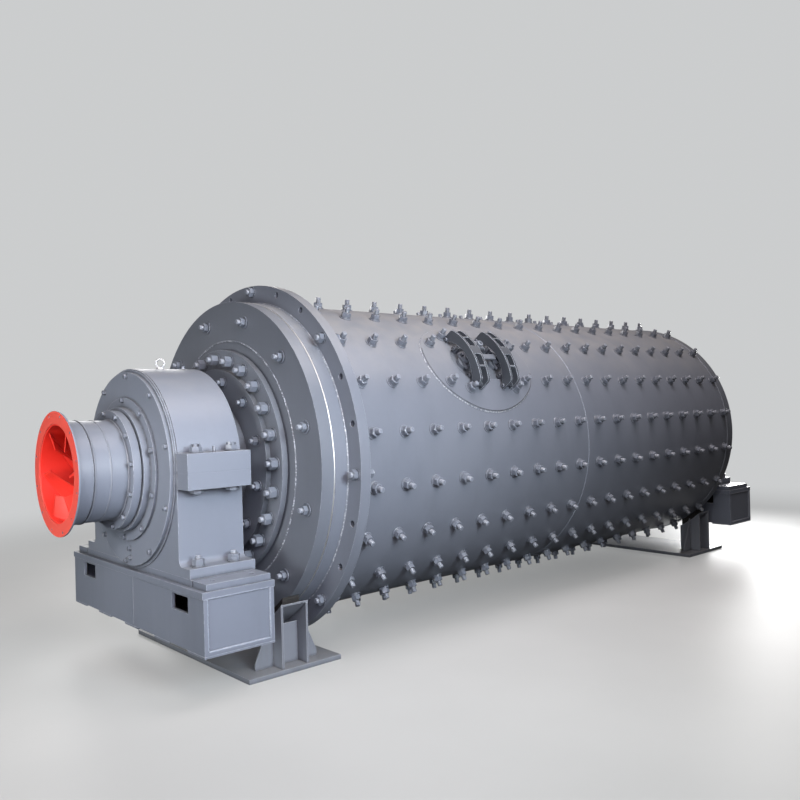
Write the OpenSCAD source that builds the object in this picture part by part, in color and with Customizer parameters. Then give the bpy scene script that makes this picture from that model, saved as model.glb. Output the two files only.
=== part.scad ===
// Ball mill on two floor stands, mm, +Z up.
// X runs along the mill from the feed end (-X) to the discharge end (+X).
// Origin: bottom centre of the whole machine, on the floor.

/* [Drum] */
// number of liner bolt rings along the drum
ring_count = 18; // [12:1:22]
// distance between two bolt rings
ring_pitch = 250; // [230:5:280]
// inside diameter of the drum shell
shell_bore = 2000; // [1900:10:2060]
// thickness of the shell plate
shell_wall = 18; // [12:1:26]
// gear flange back face to the first bolt ring
first_ring_x = 133; // [110:1:170]
// last bolt ring to the discharge end rim
last_ring_x = 60; // [55:1:100]
// how far the end rims stand out over the shell
rim_step = 6; // [2:1:10]

/* [Gear flange] */
// how far the gear flange stands out over the shell
gear_flange_reach = 122; // [110:1:150]
// thickness of the gear flange
gear_flange_t = 70; // [50:1:80]
// bolt hole centres inside the gear flange rim
gear_hole_in = 42; // [36:1:50]
// bolt holes in the gear flange
gear_hole_count = 24; // [12:12:36]
// diameter of the gear flange holes
gear_hole_d = 39; // [26:1:42]
// angle of the first gear flange hole from the top
gear_hole_turn = 2.6; // [0:0.1:14]
// gap between the gear flange and the plate of the feed stand
gear_flange_gap = 28; // [15:1:90]

/* [Heads] */
// length of the shell end ring at the feed end
end_ring_t = 92; // [60:1:110]
// width of the groove between end ring and head
groove_w = 9; // [8:1:14]
// depth of that groove
groove_depth = 7; // [6:1:16]
// wire in the groove, diameter
wire_d = 8; // [4:1:9]
// thickness of the feed head
feed_head_t = 84; // [70:1:110]
// thickness of the discharge head
out_head_t = 90; // [70:1:110]
// diameter of the free passage through heads and trunnions
passage_d = 520; // [460:10:530]

/* [Trunnions] */
// diameter of the trunnion flange
trunnion_flange_d = 1428; // [1300:4:1500]
// thickness of the trunnion flange
trunnion_flange_t = 36; // [30:1:50]
// step between head and trunnion flange
trunnion_step_t = 18; // [12:1:30]
// how much that step is smaller in radius
trunnion_step_in = 24; // [10:1:40]
// diameter of the small flange
small_flange_d = 1182; // [1080:2:1240]
// thickness of the small flange
small_flange_t = 31; // [20:1:40]
// diameter of the journal
journal_d = 760; // [720:10:790]
// end of the journal inside the bearing cover
journal_end_gap = 8; // [6:1:14]
// running gap at the bearing bush
bush_gap = 0.4; // [0.2:0.1:1]

/* [Feed inlet] */
// diameter of the inlet tube
tube_d = 580; // [560:1:640]
// how far the front part of the inlet tube stands out
tube_front_reach = 4; // [2:1:20]
// length of that front part
tube_front_l = 92; // [60:1:110]
// inlet tube reach beyond the bearing cover
tube_reach = 408; // [340:1:460]
// wall of the inlet tube
tube_wall = 10; // [8:1:18]
// how far the inlet flange stands out over the tube
inlet_flange_reach = 62; // [50:1:80]
// thickness of the inlet flange
inlet_flange_t = 10; // [8:1:24]
// hole centres inside the inlet flange rim
inlet_hole_in = 22; // [18:1:30]
// holes in the inlet flange
inlet_hole_count = 12; // [8:2:16]
// diameter of the inlet flange holes
inlet_hole_d = 14; // [10:1:16]
// wall of the red inlet liner
liner_wall = 8; // [6:1:12]
// length of the red inlet liner
liner_length = 360; // [300:5:420]
// front end of the liner behind the inlet flange face
liner_set_back = 6; // [2:1:16]
// number of spiral blades in the liner
blade_count = 6; // [3:1:8]
// height of a spiral blade
blade_h = 128; // [60:2:140]
// thickness of a spiral blade
blade_t = 14; // [8:1:18]
// front ends of the blades behind the inlet flange face
blade_set_back = 22; // [4:2:80]
// angle of the first blade's front end from the top
blade_turn = 25.5; // [0:0.5:59]
// lean of a blade from the radius
blade_lean = 10; // [0:1:20]
// turn of a spiral blade over its length
blade_twist = 108; // [40:2:140]

/* [Running rings] */
// how far the bolted ring stands out over its tube
tube_ring_reach = 56; // [45:1:62]
// thickness of that ring
tube_ring_t = 46; // [30:1:60]
// gap between turning ring and fixed packing ring
ring_gap = 6; // [5:1:10]
// wall of the fixed packing ring
packing_wall = 67; // [50:1:90]
// length of the fixed packing ring
packing_t = 39; // [25:1:50]
// wall of the fixed seal flange
seal_flange_wall = 124; // [100:1:150]
// thickness of the fixed seal flange
seal_flange_t = 16; // [12:1:24]
// gap around the tube inside the fixed rings
tube_gap = 6; // [5:1:8]

/* [Bearings] */
// width of a bearing housing along the mill
housing_w = 398; // [360:1:430]
// outside radius of the bearing cap
cap_r = 590; // [560:1:620]
// wall of the bearing bush
bush_wall = 40; // [25:1:60]
// bush stays inside the housing faces by this
bush_inset = 20; // [10:1:40]
// feed head to the feed bearing housing
feed_bearing_x = 251; // [240:1:280]
// discharge head to the discharge bearing housing
out_bearing_x = 164; // [150:1:260]
// bearing cover, outer step inside the cap rim
cover_in = 21; // [14:1:40]
// bearing cover, outer step thickness
cover_t = 20; // [14:1:26]
// bearing cover, inner step inside the cap rim
cover_back_in = 6; // [2:1:10]
// bearing cover, inner step thickness
cover_back_t = 8; // [6:1:14]
// line cut round the cap near its outer face
cap_line_w = 4; // [2:1:6]
// distance of that line from the outer face
cap_line_x = 8; // [6:1:14]
// depth of that line
cap_line_depth = 6; // [3:1:8]
// reach of the split lugs from the mill axis
lug_y = 713; // [690:1:740]
// height of the split lug on the cap
lug_up = 106; // [90:1:120]
// height of the split lug on the lower housing
lug_down = 90; // [80:1:110]
// lugs and feet stay inside the outer face by this
lug_inset_out = 2; // [1:1:10]
// lugs and feet stay inside the inner face by this
lug_inset_in = 12; // [4:1:20]
// half length of the housing foot
foot_y = 712; // [690:1:740]
// thickness of the housing foot
foot_t = 53; // [40:1:60]
// rounding between housing side and foot
foot_round = 36; // [20:1:50]
// depth of the housing bottom under the mill axis
housing_drop = 560; // [540:1:580]
// lifting eye, outer diameter
eye_d = 64; // [50:2:110]
// lifting eye, rod diameter
eye_rod_d = 12; // [10:1:24]
// lifting eye, collar diameter
eye_collar_d = 46; // [30:2:60]
// lifting eye, collar height over the cap
eye_collar_h = 8; // [5:1:14]
// turn of the lifting eyes from the mill axis
eye_turn = 45; // [0:5:90]

/* [Bases] */
// thickness of the sole plate under a housing
sole_t = 36; // [25:1:45]
// half length of the sole plate
sole_y = 730; // [700:1:745]
// gap between sole plate and end pad
pad_gap = 12; // [8:1:20]
// length of an end pad along Y
pad_l = 143; // [110:1:145]
// distance of the two end pad holes
pad_hole_pitch = 234; // [180:2:280]
// diameter of the end pad holes
pad_hole_d = 33; // [20:1:40]
// half length of the base box
base_y = 900; // [895:1:960]
// how much wider the base box is than the housing
base_extra = 34; // [34:1:72]
// the box stands out past the inner housing face by this
base_in = 4; // [0:1:12]
// height of the base box with its top plate
base_h = 329; // [280:1:340]
// thickness of the base top plate
base_top_t = 36; // [25:1:45]
// top plate lip over the box sides
base_lip = 6; // [2:1:10]
// side plates of the base box
base_wall = 22; // [14:1:26]
// bottom plate of the base box
base_floor_t = 20; // [14:1:26]
// recess of the end plates
end_recess = 6; // [4:1:20]
// width of the windows in the box sides
window_w = 186; // [120:2:220]
// height of the windows
window_h = 86; // [60:2:120]
// distance of the window centres from the middle
window_y = 635; // [500:5:700]
// window top edge under the box top
window_drop = 50; // [45:1:80]
// thickness of the strips under the box
strip_t = 10; // [6:1:14]
// length of a strip along Y
strip_l = 190; // [120:5:220]

/* [Stands] */
// stand plate length along X
stand_l = 636; // [600:2:700]
// stand plate half length along Y
stand_y = 728; // [720:1:780]
// stand plate thickness
stand_t = 28; // [16:1:36]
// post depth along X
post_w = 186; // [180:1:200]
// post flange width along Y
post_d = 200; // [160:2:220]
// thickness of the post flanges
post_flange_t = 14; // [8:1:16]
// thickness of the post web
post_web_t = 9; // [6:1:12]
// outer face of a post from the middle
post_y = 715; // [690:1:720]
// head face to the outer face of the posts
post_out = 91; // [85:1:95]
// web top under the mill axis
web_drop = 935; // [925:1:960]
// thickness of the rolled saddle plate
saddle_t = 8; // [6:1:20]
// thickness of the wooden lining on the saddle
lining_t = 48; // [15:1:60]
// lining stays inside the saddle edges by this
lining_in = 36; // [10:1:60]
// gap between lining and rim
lining_gap = 0.4; // [0.3:0.1:2]
// gusset foot length
gusset_l = 120; // [80:1:130]
// gusset height over the plate
gusset_h = 308; // [200:2:320]
// gusset upright edge at its foot
gusset_toe = 36; // [20:1:50]
// thickness of the gussets
gusset_t = 12; // [8:1:16]

/* [Manhole] */
// middle of the manhole behind the first bolt ring
man_x = 1125; // [900:5:1400]
// angle of the manhole from the top
man_angle = 53.6; // [40:0.1:60]
// half length of the pad along X
man_pad_a = 502; // [440:2:560]
// half height of the pad round the drum
man_pad_b = 370; // [340:2:400]
// radius of the pad at its two ends
man_pad_end_r = 300; // [240:5:330]
// thickness of the pad
man_pad_t = 10; // [6:1:14]
// gap between pad and shell
man_pad_gap = 0.3; // [0.1:0.1:0.5]
// length of the opening along X
man_hole_l = 520; // [440:5:540]
// width of the opening round the drum
man_hole_w = 280; // [240:5:320]
// gap round the door in the opening
man_door_gap = 4; // [2:1:6]
// depth of the door face under the shell outside
man_door_drop = 13; // [6:1:16]
// door edge that bears on the shell from inside
man_door_lap = 40; // [25:1:50]
// thickness of that edge
man_door_t = 16; // [10:1:24]
// diameter of the stud bosses on the door
man_boss_d = 96; // [70:2:110]
// height of a boss over the shell
man_boss_h = 12; // [6:1:20]
// diameter of the door studs
stud_d = 36; // [24:1:42]
// distance between the two bridges
bridge_pitch = 306; // [280:2:330]
// width of a bridge along X
bridge_w = 92; // [80:1:110]
// thickness of the bridge plates
bridge_plate_t = 18; // [12:1:22]
// half length of a bridge
bridge_l = 224; // [215:1:240]
// length of a bridge leg
bridge_leg = 42; // [30:1:55]
// height of a bridge over the shell
bridge_h = 146; // [130:1:160]
// radius of the back of a bridge
bridge_back_r = 470; // [420:5:600]
// rounding of the ends of that back
bridge_round = 34; // [16:1:46]
// height of the arch over the shell
arch_h = 87; // [70:1:95]
// radius of the arch
arch_r = 265; // [245:5:320]
// length of the block in the middle of a bridge
bridge_block_l = 70; // [50:2:90]
// distance of a rib from the middle of a bridge
bridge_rib_y = 125; // [105:1:145]
// thickness of a rib
bridge_rib_t = 10; // [6:1:14]
// diameter of the pin through each pair of legs
bridge_pin_d = 24; // [16:1:30]

/* [Hidden] */
$fn = 96;
shell_r = shell_bore / 2 + shell_wall;
tube_r = tube_d / 2;
inlet_flange_r = tube_r + inlet_flange_reach;
tube_room_r = tube_r + tube_gap;
liner_out_r = tube_r - tube_wall;
liner_in_r = liner_out_r - liner_wall;
blade_l = liner_length - blade_set_back;
rim_r = shell_r + rim_step;
gear_flange_r = shell_r + gear_flange_reach;
gear_circle_r = gear_flange_r - gear_hole_in;
axis_z = gear_flange_r + gear_flange_gap + stand_t;
axial = ring_pitch * (ring_count - 1);
flange_back_x = -first_ring_x;
flange_front_x = flange_back_x - gear_flange_t;
end_ring_x = flange_front_x - end_ring_t;
feed_head_back_x = end_ring_x - groove_w;
feed_face_x = feed_head_back_x - feed_head_t;
out_head_x = axial + last_ring_x;
out_face_x = out_head_x + out_head_t;
trunnion_top_t = trunnion_step_t + trunnion_flange_t;
journal_start = trunnion_top_t + small_flange_t;
bush_r = journal_d / 2 + bush_gap;
bore_r = bush_r + bush_wall;
cover_all_t = cover_back_t + cover_t;
packing_face = cover_all_t + seal_flange_t + packing_t;
feed_cover_x = feed_bearing_x + housing_w;
out_cover_x = out_bearing_x + housing_w;
feed_tube_end = feed_cover_x + cover_all_t + tube_reach;
out_tube_end = out_cover_x + packing_face + ring_gap + tube_ring_t;
mill_x = (feed_face_x - feed_tube_end + out_face_x + out_tube_end) / -2;
foot_z = -housing_drop + foot_t;
base_top_z = -housing_drop - sole_t;
base_bottom_z = base_top_z - base_h;
base_w = housing_w + base_extra;
base_out = base_w - base_in;
lug_w = housing_w - lug_inset_in - lug_inset_out;
lug_mid = lug_inset_in + lug_w / 2;
pad_y = sole_y + pad_gap;
box_w = base_w - 2 * base_lip;
saddle_in_r = rim_r + lining_gap + lining_t;
saddle_out_r = saddle_in_r + saddle_t;
stand_mid = post_out - post_w / 2;
pad_r = shell_r + man_pad_t;
man_low = shell_r * 0.87;
man_high = pad_r + bridge_h;
man_door_r = shell_r - man_door_drop;
bridge_back_z = shell_r + bridge_h - bridge_back_r;
bridge_end_y = bridge_l - bridge_round;
bridge_end_r = bridge_back_r - bridge_round;
bridge_end_z = bridge_back_z + sqrt(bridge_end_r * bridge_end_r - bridge_end_y * bridge_end_y);
bridge_meet_y = bridge_end_y * bridge_back_r / bridge_end_r;
arch_z = shell_r + arch_h - arch_r;
bridge_gap = bridge_w - 2 * bridge_plate_t;
steel = [0.58, 0.61, 0.68];
red = [0.85, 0.2, 0.14];

// places and helpers
module on_axis(x) {
  translate([mill_x + x, 0, axis_z]) children();
}

// local +X points away from the drum
module at_feed() {
  on_axis(feed_face_x) rotate([0, 0, 180]) children();
}

module at_out() {
  on_axis(out_face_x) children();
}

module at_floor(x) {
  translate([mill_x + x, 0, 0]) children();
}

module disc_x(r, l) {
  rotate([0, 90, 0]) cylinder(r = r, h = l);
}

module ring_x(r_out, r_in, l) {
  difference() {
    disc_x(r_out, l);
    translate([-1, 0, 0]) disc_x(r_in, l + 2);
  }
}

module block(x0, x1, y0, y1, z0, z1) {
  translate([x0, y0, z0]) cube([x1 - x0, y1 - y0, z1 - z0]);
}

module both_y() {
  children();
  mirror([0, 1, 0]) children();
}

// drum
module at_manhole() {
  on_axis(man_x) rotate([man_angle, 0, 0]) children();
}

module slot_z(l, w, z0, z1) {
  for (s = [-1, 1])
    translate([s * (l - w) / 2, 0, z0]) cylinder(d = w, h = z1 - z0);
  block(-(l - w) / 2, (l - w) / 2, -w / 2, w / 2, z0, z1);
}

// an oval of four arcs that meet smoothly
module oval_z(a, b, end_r, z0, z1) {
  end_x = a - end_r;
  side_r = (end_x * end_x + b * b - end_r * end_r) / (2 * (b - end_r));
  meet_x = end_x * side_r / (side_r - end_r);
  intersection() {
    oval_side(1, side_r, b, z0, z1);
    oval_side(-1, side_r, b, z0, z1);
    block(-meet_x, meet_x, -b, b, z0, z1);
  }
  for (s = [-1, 1])
    translate([s * end_x, 0, z0]) cylinder(r = end_r, h = z1 - z0);
}

module oval_side(s, side_r, b, z0, z1) {
  translate([0, s * (b - side_r), z0]) cylinder(r = side_r, h = z1 - z0);
}

module drum_shell() {
  color(steel) difference() {
    on_axis(flange_front_x) ring_x(shell_r, shell_bore / 2, out_head_x - flange_front_x);
    at_manhole() slot_z(man_hole_l, man_hole_w, man_low, man_high);
  }
}

module gear_flange() {
  color(steel) on_axis(flange_front_x) difference() {
    ring_x(gear_flange_r, shell_r, gear_flange_t);
    for (i = [0 : gear_hole_count - 1])
      rotate([gear_hole_turn + i * 360 / gear_hole_count, 0, 0])
        translate([-1, 0, gear_circle_r]) disc_x(gear_hole_d / 2, gear_flange_t + 2);
  }
}

module shell_end_ring() {
  color(steel) {
    on_axis(end_ring_x) ring_x(rim_r, shell_bore / 2, end_ring_t);
    on_axis(feed_head_back_x) ring_x(rim_r - groove_depth, shell_bore / 2, groove_w);
  }
}

module seam_wire() {
  color([0.85, 0.85, 0.85]) on_axis(end_ring_x - groove_w / 2) rotate([0, 90, 0])
    rotate_extrude() translate([rim_r - groove_depth + wire_d / 2, 0]) circle(d = wire_d);
}

module feed_head() {
  color(steel) on_axis(feed_face_x) ring_x(rim_r, passage_d / 2, feed_head_t);
}

module discharge_head() {
  color(steel) on_axis(out_head_x) ring_x(rim_r, passage_d / 2, out_head_t);
}

module trunnion(cover_x) {
  difference() {
    union() {
      disc_x(trunnion_flange_d / 2 - trunnion_step_in, trunnion_step_t);
      translate([trunnion_step_t, 0, 0]) disc_x(trunnion_flange_d / 2, trunnion_flange_t);
      translate([trunnion_top_t, 0, 0]) disc_x(small_flange_d / 2, small_flange_t);
      translate([journal_start, 0, 0]) disc_x(journal_d / 2, cover_x - journal_end_gap - journal_start);
    }
    translate([-1, 0, 0]) disc_x(passage_d / 2, cover_x + 2);
  }
}

module feed_trunnion() {
  color(steel) at_feed() trunnion(feed_cover_x);
}

module discharge_trunnion() {
  color(steel) at_out() trunnion(out_cover_x);
}

module inlet_tube() {
  start = feed_cover_x - journal_end_gap;
  step = feed_tube_end - inlet_flange_t - tube_front_l;
  color(steel) at_feed() difference() {
    union() {
      translate([start, 0, 0]) disc_x(tube_r, step - start);
      translate([step, 0, 0]) disc_x(tube_r + tube_front_reach, tube_front_l);
    }
    translate([start - 1, 0, 0]) disc_x(liner_out_r, feed_tube_end - start);
  }
}

module tube_ring() {
  translate([packing_face + ring_gap, 0, 0]) ring_x(tube_r + tube_ring_reach, tube_r, tube_ring_t);
}

module inlet_tube_ring() {
  color(steel) at_feed() translate([feed_cover_x, 0, 0]) tube_ring();
}

module inlet_flange() {
  color(red) at_feed() translate([feed_tube_end - inlet_flange_t, 0, 0]) difference() {
    ring_x(inlet_flange_r, liner_out_r, inlet_flange_t);
    for (i = [0 : inlet_hole_count - 1])
      rotate([(i + 0.5) * 360 / inlet_hole_count, 0, 0])
        translate([-1, 0, inlet_flange_r - inlet_hole_in])
          disc_x(inlet_hole_d / 2, inlet_flange_t + 2);
  }
}

module inlet_liner() {
  color(red) at_feed() translate([feed_tube_end - liner_length, 0, 0])
    ring_x(liner_out_r, liner_in_r, liner_length - liner_set_back);
}

module inlet_blades() {
  color(red) at_feed() translate([feed_tube_end - liner_length, 0, 0]) rotate([0, 90, 0])
    linear_extrude(height = blade_l, twist = blade_twist, slices = 24, $fn = 12) intersection() {
      circle(r = liner_in_r, $fn = 360);
      for (i = [0 : blade_count - 1])
        rotate([0, 0, 180 + blade_twist - blade_turn + i * 360 / blade_count])
          translate([liner_in_r, 0]) rotate([0, 0, blade_lean])
            translate([-blade_h, -blade_t / 2]) square([blade_h + blade_t, blade_t]);
    }
}

module discharge_tube() {
  start = out_cover_x - journal_end_gap;
  color(steel) at_out() translate([start, 0, 0])
    ring_x(tube_r, liner_out_r, out_tube_end - start);
}

module discharge_ring() {
  color(steel) at_out() translate([out_cover_x, 0, 0]) tube_ring();
}

module manhole_pad() {
  $fn = 480;
  color(steel) difference() {
    intersection() {
      on_axis(man_x - man_pad_a - 10) ring_x(pad_r, shell_r + man_pad_gap, 2 * man_pad_a + 20);
      at_manhole() oval_z(man_pad_a, man_pad_b, man_pad_end_r, man_low, man_high);
    }
    at_manhole() slot_z(man_hole_l, man_hole_w, man_low, man_high);
  }
}

module manhole_door() {
  plug_l = man_hole_l - 2 * man_door_gap;
  plug_w = man_hole_w - 2 * man_door_gap;
  edge_l = man_hole_l + 2 * man_door_lap;
  edge_w = man_hole_w + 2 * man_door_lap;
  color(steel) {
    intersection() {
      on_axis(man_x - man_hole_l) ring_x(man_door_r, shell_bore / 2 - 1, 2 * man_hole_l);
      at_manhole() slot_z(plug_l, plug_w, man_low, man_high);
    }
    intersection() {
      on_axis(man_x - man_hole_l) ring_x(shell_bore / 2, shell_bore / 2 - man_door_t, 2 * man_hole_l);
      at_manhole() slot_z(edge_l, edge_w, man_low, man_high);
    }
    at_manhole() for (b = [-1, 1])
      translate([b * bridge_pitch / 2, 0, shell_bore / 2 - man_door_t / 2])
        cylinder(d = man_boss_d, h = shell_wall + man_boss_h + man_door_t / 2);
  }
}

// one bar of a bridge from y0 to y1, under its round back
module bridge_bar(x0, x1, y0, y1) {
  intersection() {
    translate([x0 - 1, 0, bridge_back_z]) disc_x(bridge_back_r, x1 - x0 + 2);
    block(x0, x1, y0, y1, man_low, man_high);
  }
}

// one side plate of a bridge, its back rounded at both ends
module bridge_plate(x0) {
  x1 = x0 + bridge_plate_t;
  bridge_bar(x0, x1, -bridge_meet_y, bridge_meet_y);
  block(x0, x1, -bridge_l, bridge_l, man_low, bridge_end_z);
  for (s = [-1, 1])
    translate([x0, s * bridge_end_y, bridge_end_z]) disc_x(bridge_round, bridge_plate_t);
}

module arch(l) {
  translate([-l / 2, 0, arch_z]) disc_x(arch_r, l);
}

module bridge() {
  outer = bridge_w / 2;
  inner = bridge_gap / 2;
  clear = bridge_l - bridge_leg;
  difference() {
    union() {
      for (x = [-outer, inner])
        bridge_plate(x);
      for (y = [-bridge_rib_y, bridge_rib_y])
        bridge_bar(-inner, inner, y - bridge_rib_t / 2, y + bridge_rib_t / 2);
      bridge_bar(-inner, inner, -bridge_block_l / 2, bridge_block_l / 2);
      for (s = [-1, 1])
        translate([-inner, s * (bridge_l - bridge_leg / 2), pad_r + bridge_pin_d / 2])
          disc_x(bridge_pin_d / 2, 2 * inner);
    }
    intersection() {
      arch(2 * bridge_w);
      block(-bridge_w, bridge_w, -clear, clear, man_low, man_high);
    }
  }
}

module manhole_bridges() {
  color(steel) difference() {
    at_manhole() for (b = [-1, 1])
      translate([b * bridge_pitch / 2, 0, 0]) bridge();
    on_axis(man_x - man_pad_a) disc_x(pad_r, 2 * man_pad_a);
  }
}

module manhole_studs() {
  color(steel) at_manhole() for (b = [-1, 1])
    translate([b * bridge_pitch / 2, 0, 0]) intersection() {
      translate([0, 0, shell_r + man_boss_h]) cylinder(d = stud_d, h = arch_h);
      arch(2 * stud_d);
    }
}

// bearings
module foot_fillet() {
  difference() {
    block(0, housing_w, cap_r, cap_r + foot_round, foot_z, foot_z + foot_round);
    translate([-1, cap_r + foot_round, foot_z + foot_round]) disc_x(foot_round, housing_w + 2);
  }
}

module lower_housing() {
  difference() {
    union() {
      block(0, housing_w, -cap_r, cap_r, foot_z, 0);
      block(0, housing_w, -foot_y, foot_y, -housing_drop, foot_z);
      both_y() foot_fillet();
      block(lug_inset_in, housing_w - lug_inset_out, -lug_y, lug_y, -lug_down, 0);
    }
    translate([-1, 0, 0]) disc_x(bore_r, housing_w + 2);
  }
}

module bearing_cap() {
  difference() {
    union() {
      disc_x(cap_r, housing_w);
      block(lug_inset_in, housing_w - lug_inset_out, -lug_y, lug_y, 0, lug_up);
    }
    translate([-1, 0, 0]) disc_x(bore_r, housing_w + 2);
    translate([housing_w - cap_line_x - cap_line_w, 0, 0])
      ring_x(cap_r + 10, cap_r - cap_line_depth, cap_line_w);
    block(-1, housing_w + 1, -lug_y - 1, lug_y + 1, -cap_r - 1, 0);
  }
}

module bearing_bush() {
  translate([bush_inset, 0, 0]) ring_x(bore_r, bush_r, housing_w - 2 * bush_inset);
}

module bearing_cover() {
  translate([housing_w, 0, 0]) {
    ring_x(cap_r - cover_back_in, tube_room_r, cover_back_t);
    translate([cover_back_t, 0, 0]) ring_x(cap_r - cover_in, tube_room_r, cover_t);
  }
}

module packing_ring() {
  translate([housing_w + cover_all_t, 0, 0]) {
    ring_x(tube_room_r + seal_flange_wall, tube_room_r, seal_flange_t);
    translate([seal_flange_t, 0, 0]) ring_x(tube_room_r + packing_wall, tube_room_r, packing_t);
  }
}

module lifting_eye() {
  eye_mid = cap_r + eye_collar_h + eye_d / 2 - eye_rod_d / 3;
  translate([housing_w / 2, 0, 0]) {
    difference() {
      translate([0, 0, cap_r - 4]) cylinder(d = eye_collar_d, h = eye_collar_h + 4);
      translate([-eye_d, 0, 0]) disc_x(cap_r, 2 * eye_d);
    }
    translate([0, 0, eye_mid]) rotate([90, 0, 90 + eye_turn])
      rotate_extrude() translate([(eye_d - eye_rod_d) / 2, 0]) circle(d = eye_rod_d, $fn = 32);
  }
}

module sole_plate() {
  block(lug_inset_in, housing_w - lug_inset_out, -sole_y, sole_y, base_top_z, -housing_drop);
}

module pad_pair() {
  both_y() difference() {
    block(lug_inset_in, housing_w - lug_inset_out, pad_y, pad_y + pad_l, base_top_z, -housing_drop);
    for (s = [-1, 1])
      translate([lug_mid + s * pad_hole_pitch / 2, pad_y + pad_l / 2, base_top_z - 1])
        cylinder(d = pad_hole_d, h = sole_t + 2);
  }
}

module base_top() {
  difference() {
    block(-base_in, base_out, -base_y, base_y, base_top_z - base_top_t, base_top_z);
    both_y() for (s = [-1, 1])
      translate([lug_mid + s * pad_hole_pitch / 2, pad_y + pad_l / 2, base_top_z - base_top_t - 1])
        cylinder(d = pad_hole_d, h = base_top_t + 2);
  }
}

module base_box() {
  top = base_top_z - base_top_t;
  low = base_bottom_z + base_floor_t;
  x0 = -base_in + base_lip;
  x1 = x0 + box_w;
  in_x0 = x0 + base_wall;
  in_x1 = x1 - base_wall;
  end_y = base_y - end_recess;
  in_y = end_y - base_wall;
  window_top = base_top_z - window_drop;
  difference() {
    block(x0, x1, -base_y, base_y, base_bottom_z, top);
    block(in_x0, in_x1, -in_y, in_y, low, top + 1);
    both_y() {
      block(in_x0, in_x1, end_y, base_y + 1, low, top + 1);
      translate([0, window_y, window_top])
        block(x0 - 1, x1 + 1, -window_w / 2, window_w / 2, -window_h, 0);
    }
  }
}

module strip_row() {
  x0 = -base_in + base_lip;
  step = (2 * base_y - strip_l) / 4;
  for (i = [-2 : 2])
    translate([0, i * step, base_bottom_z])
      block(x0, x0 + box_w, -strip_l / 2, strip_l / 2, -strip_t, 0);
}

module feed_bearing() {
  at_feed() translate([feed_bearing_x, 0, 0]) children();
}

module out_bearing() {
  at_out() translate([out_bearing_x, 0, 0]) children();
}

module both_bearings() {
  feed_bearing() children();
  out_bearing() children();
}

module lifting_eyes() {
  color(steel) both_bearings() lifting_eye();
}

module end_pads() {
  color(steel) both_bearings() pad_pair();
}

module base_strips() {
  color(steel) both_bearings() strip_row();
}

module feed_lower_housing() {
  color(steel) feed_bearing() lower_housing();
}

module feed_bearing_cap() {
  color(steel) feed_bearing() bearing_cap();
}

module feed_bearing_bush() {
  color([0.7, 0.55, 0.3]) feed_bearing() bearing_bush();
}

module feed_bearing_cover() {
  color(steel) feed_bearing() bearing_cover();
}

module feed_packing_ring() {
  color(steel) feed_bearing() packing_ring();
}

module feed_sole_plate() {
  color(steel) feed_bearing() sole_plate();
}

module feed_base_top() {
  color(steel) feed_bearing() base_top();
}

module feed_base_box() {
  color(steel) feed_bearing() base_box();
}

module discharge_lower_housing() {
  color(steel) out_bearing() lower_housing();
}

module discharge_bearing_cap() {
  color(steel) out_bearing() bearing_cap();
}

module discharge_bearing_bush() {
  color([0.7, 0.55, 0.3]) out_bearing() bearing_bush();
}

module discharge_bearing_cover() {
  color(steel) out_bearing() bearing_cover();
}

module discharge_packing_ring() {
  color(steel) out_bearing() packing_ring();
}

module discharge_sole_plate() {
  color(steel) out_bearing() sole_plate();
}

module discharge_base_top() {
  color(steel) out_bearing() base_top();
}

module discharge_base_box() {
  color(steel) out_bearing() base_box();
}

// stands
module stand_plate() {
  translate([stand_mid - stand_l / 2, 0, 0]) block(0, stand_l, -stand_y, stand_y, 0, stand_t);
}

module gusset() {
  translate([0, gusset_t / 2, stand_t]) rotate([90, 0, 0]) linear_extrude(height = gusset_t)
    polygon([[0, 0], [gusset_l, 0], [gusset_l, gusset_toe], [0, gusset_h]]);
}

module posts() {
  x0 = post_out - post_w;
  mid = post_y - post_d / 2;
  difference() {
    both_y() {
      for (x = [x0, post_out - post_flange_t])
        block(x, x + post_flange_t, post_y - post_d, post_y, stand_t, axis_z);
      block(x0 + 1, post_out - 1, mid - post_web_t / 2, mid + post_web_t / 2, stand_t, axis_z - web_drop);
      translate([post_out, mid, 0]) gusset();
      translate([x0, mid, 0]) mirror([1, 0, 0]) gusset();
    }
    translate([x0 - 1, 0, axis_z]) disc_x(saddle_out_r, post_w + 2);
  }
}

// curved plate over both posts, its edges inside theirs by inset
module arc_piece(r_out, r_in, inset) {
  $fn = 480;
  x0 = post_out - post_w + inset;
  l = post_w - 2 * inset;
  intersection() {
    translate([x0, 0, axis_z]) ring_x(r_out, r_in, l);
    both_y() block(x0 - 1, x0 + l + 1, post_y - post_d, post_y - inset, stand_t, axis_z);
  }
}

module feed_stand() {
  at_floor(feed_face_x) rotate([0, 0, 180]) children();
}

module out_stand() {
  at_floor(out_face_x) children();
}

module feed_stand_plate() {
  color(steel) feed_stand() stand_plate();
}

module feed_stand_posts() {
  color(steel) feed_stand() posts();
}

module discharge_stand_plate() {
  color(steel) out_stand() stand_plate();
}

module discharge_stand_posts() {
  color(steel) out_stand() posts();
}

module both_stands() {
  feed_stand() children();
  out_stand() children();
}

module saddles() {
  color(steel) both_stands() arc_piece(saddle_out_r, saddle_in_r, 0);
}

module saddle_linings() {
  color([0.25, 0.22, 0.2]) both_stands() arc_piece(saddle_in_r, rim_r + lining_gap, lining_in);
}

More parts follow.
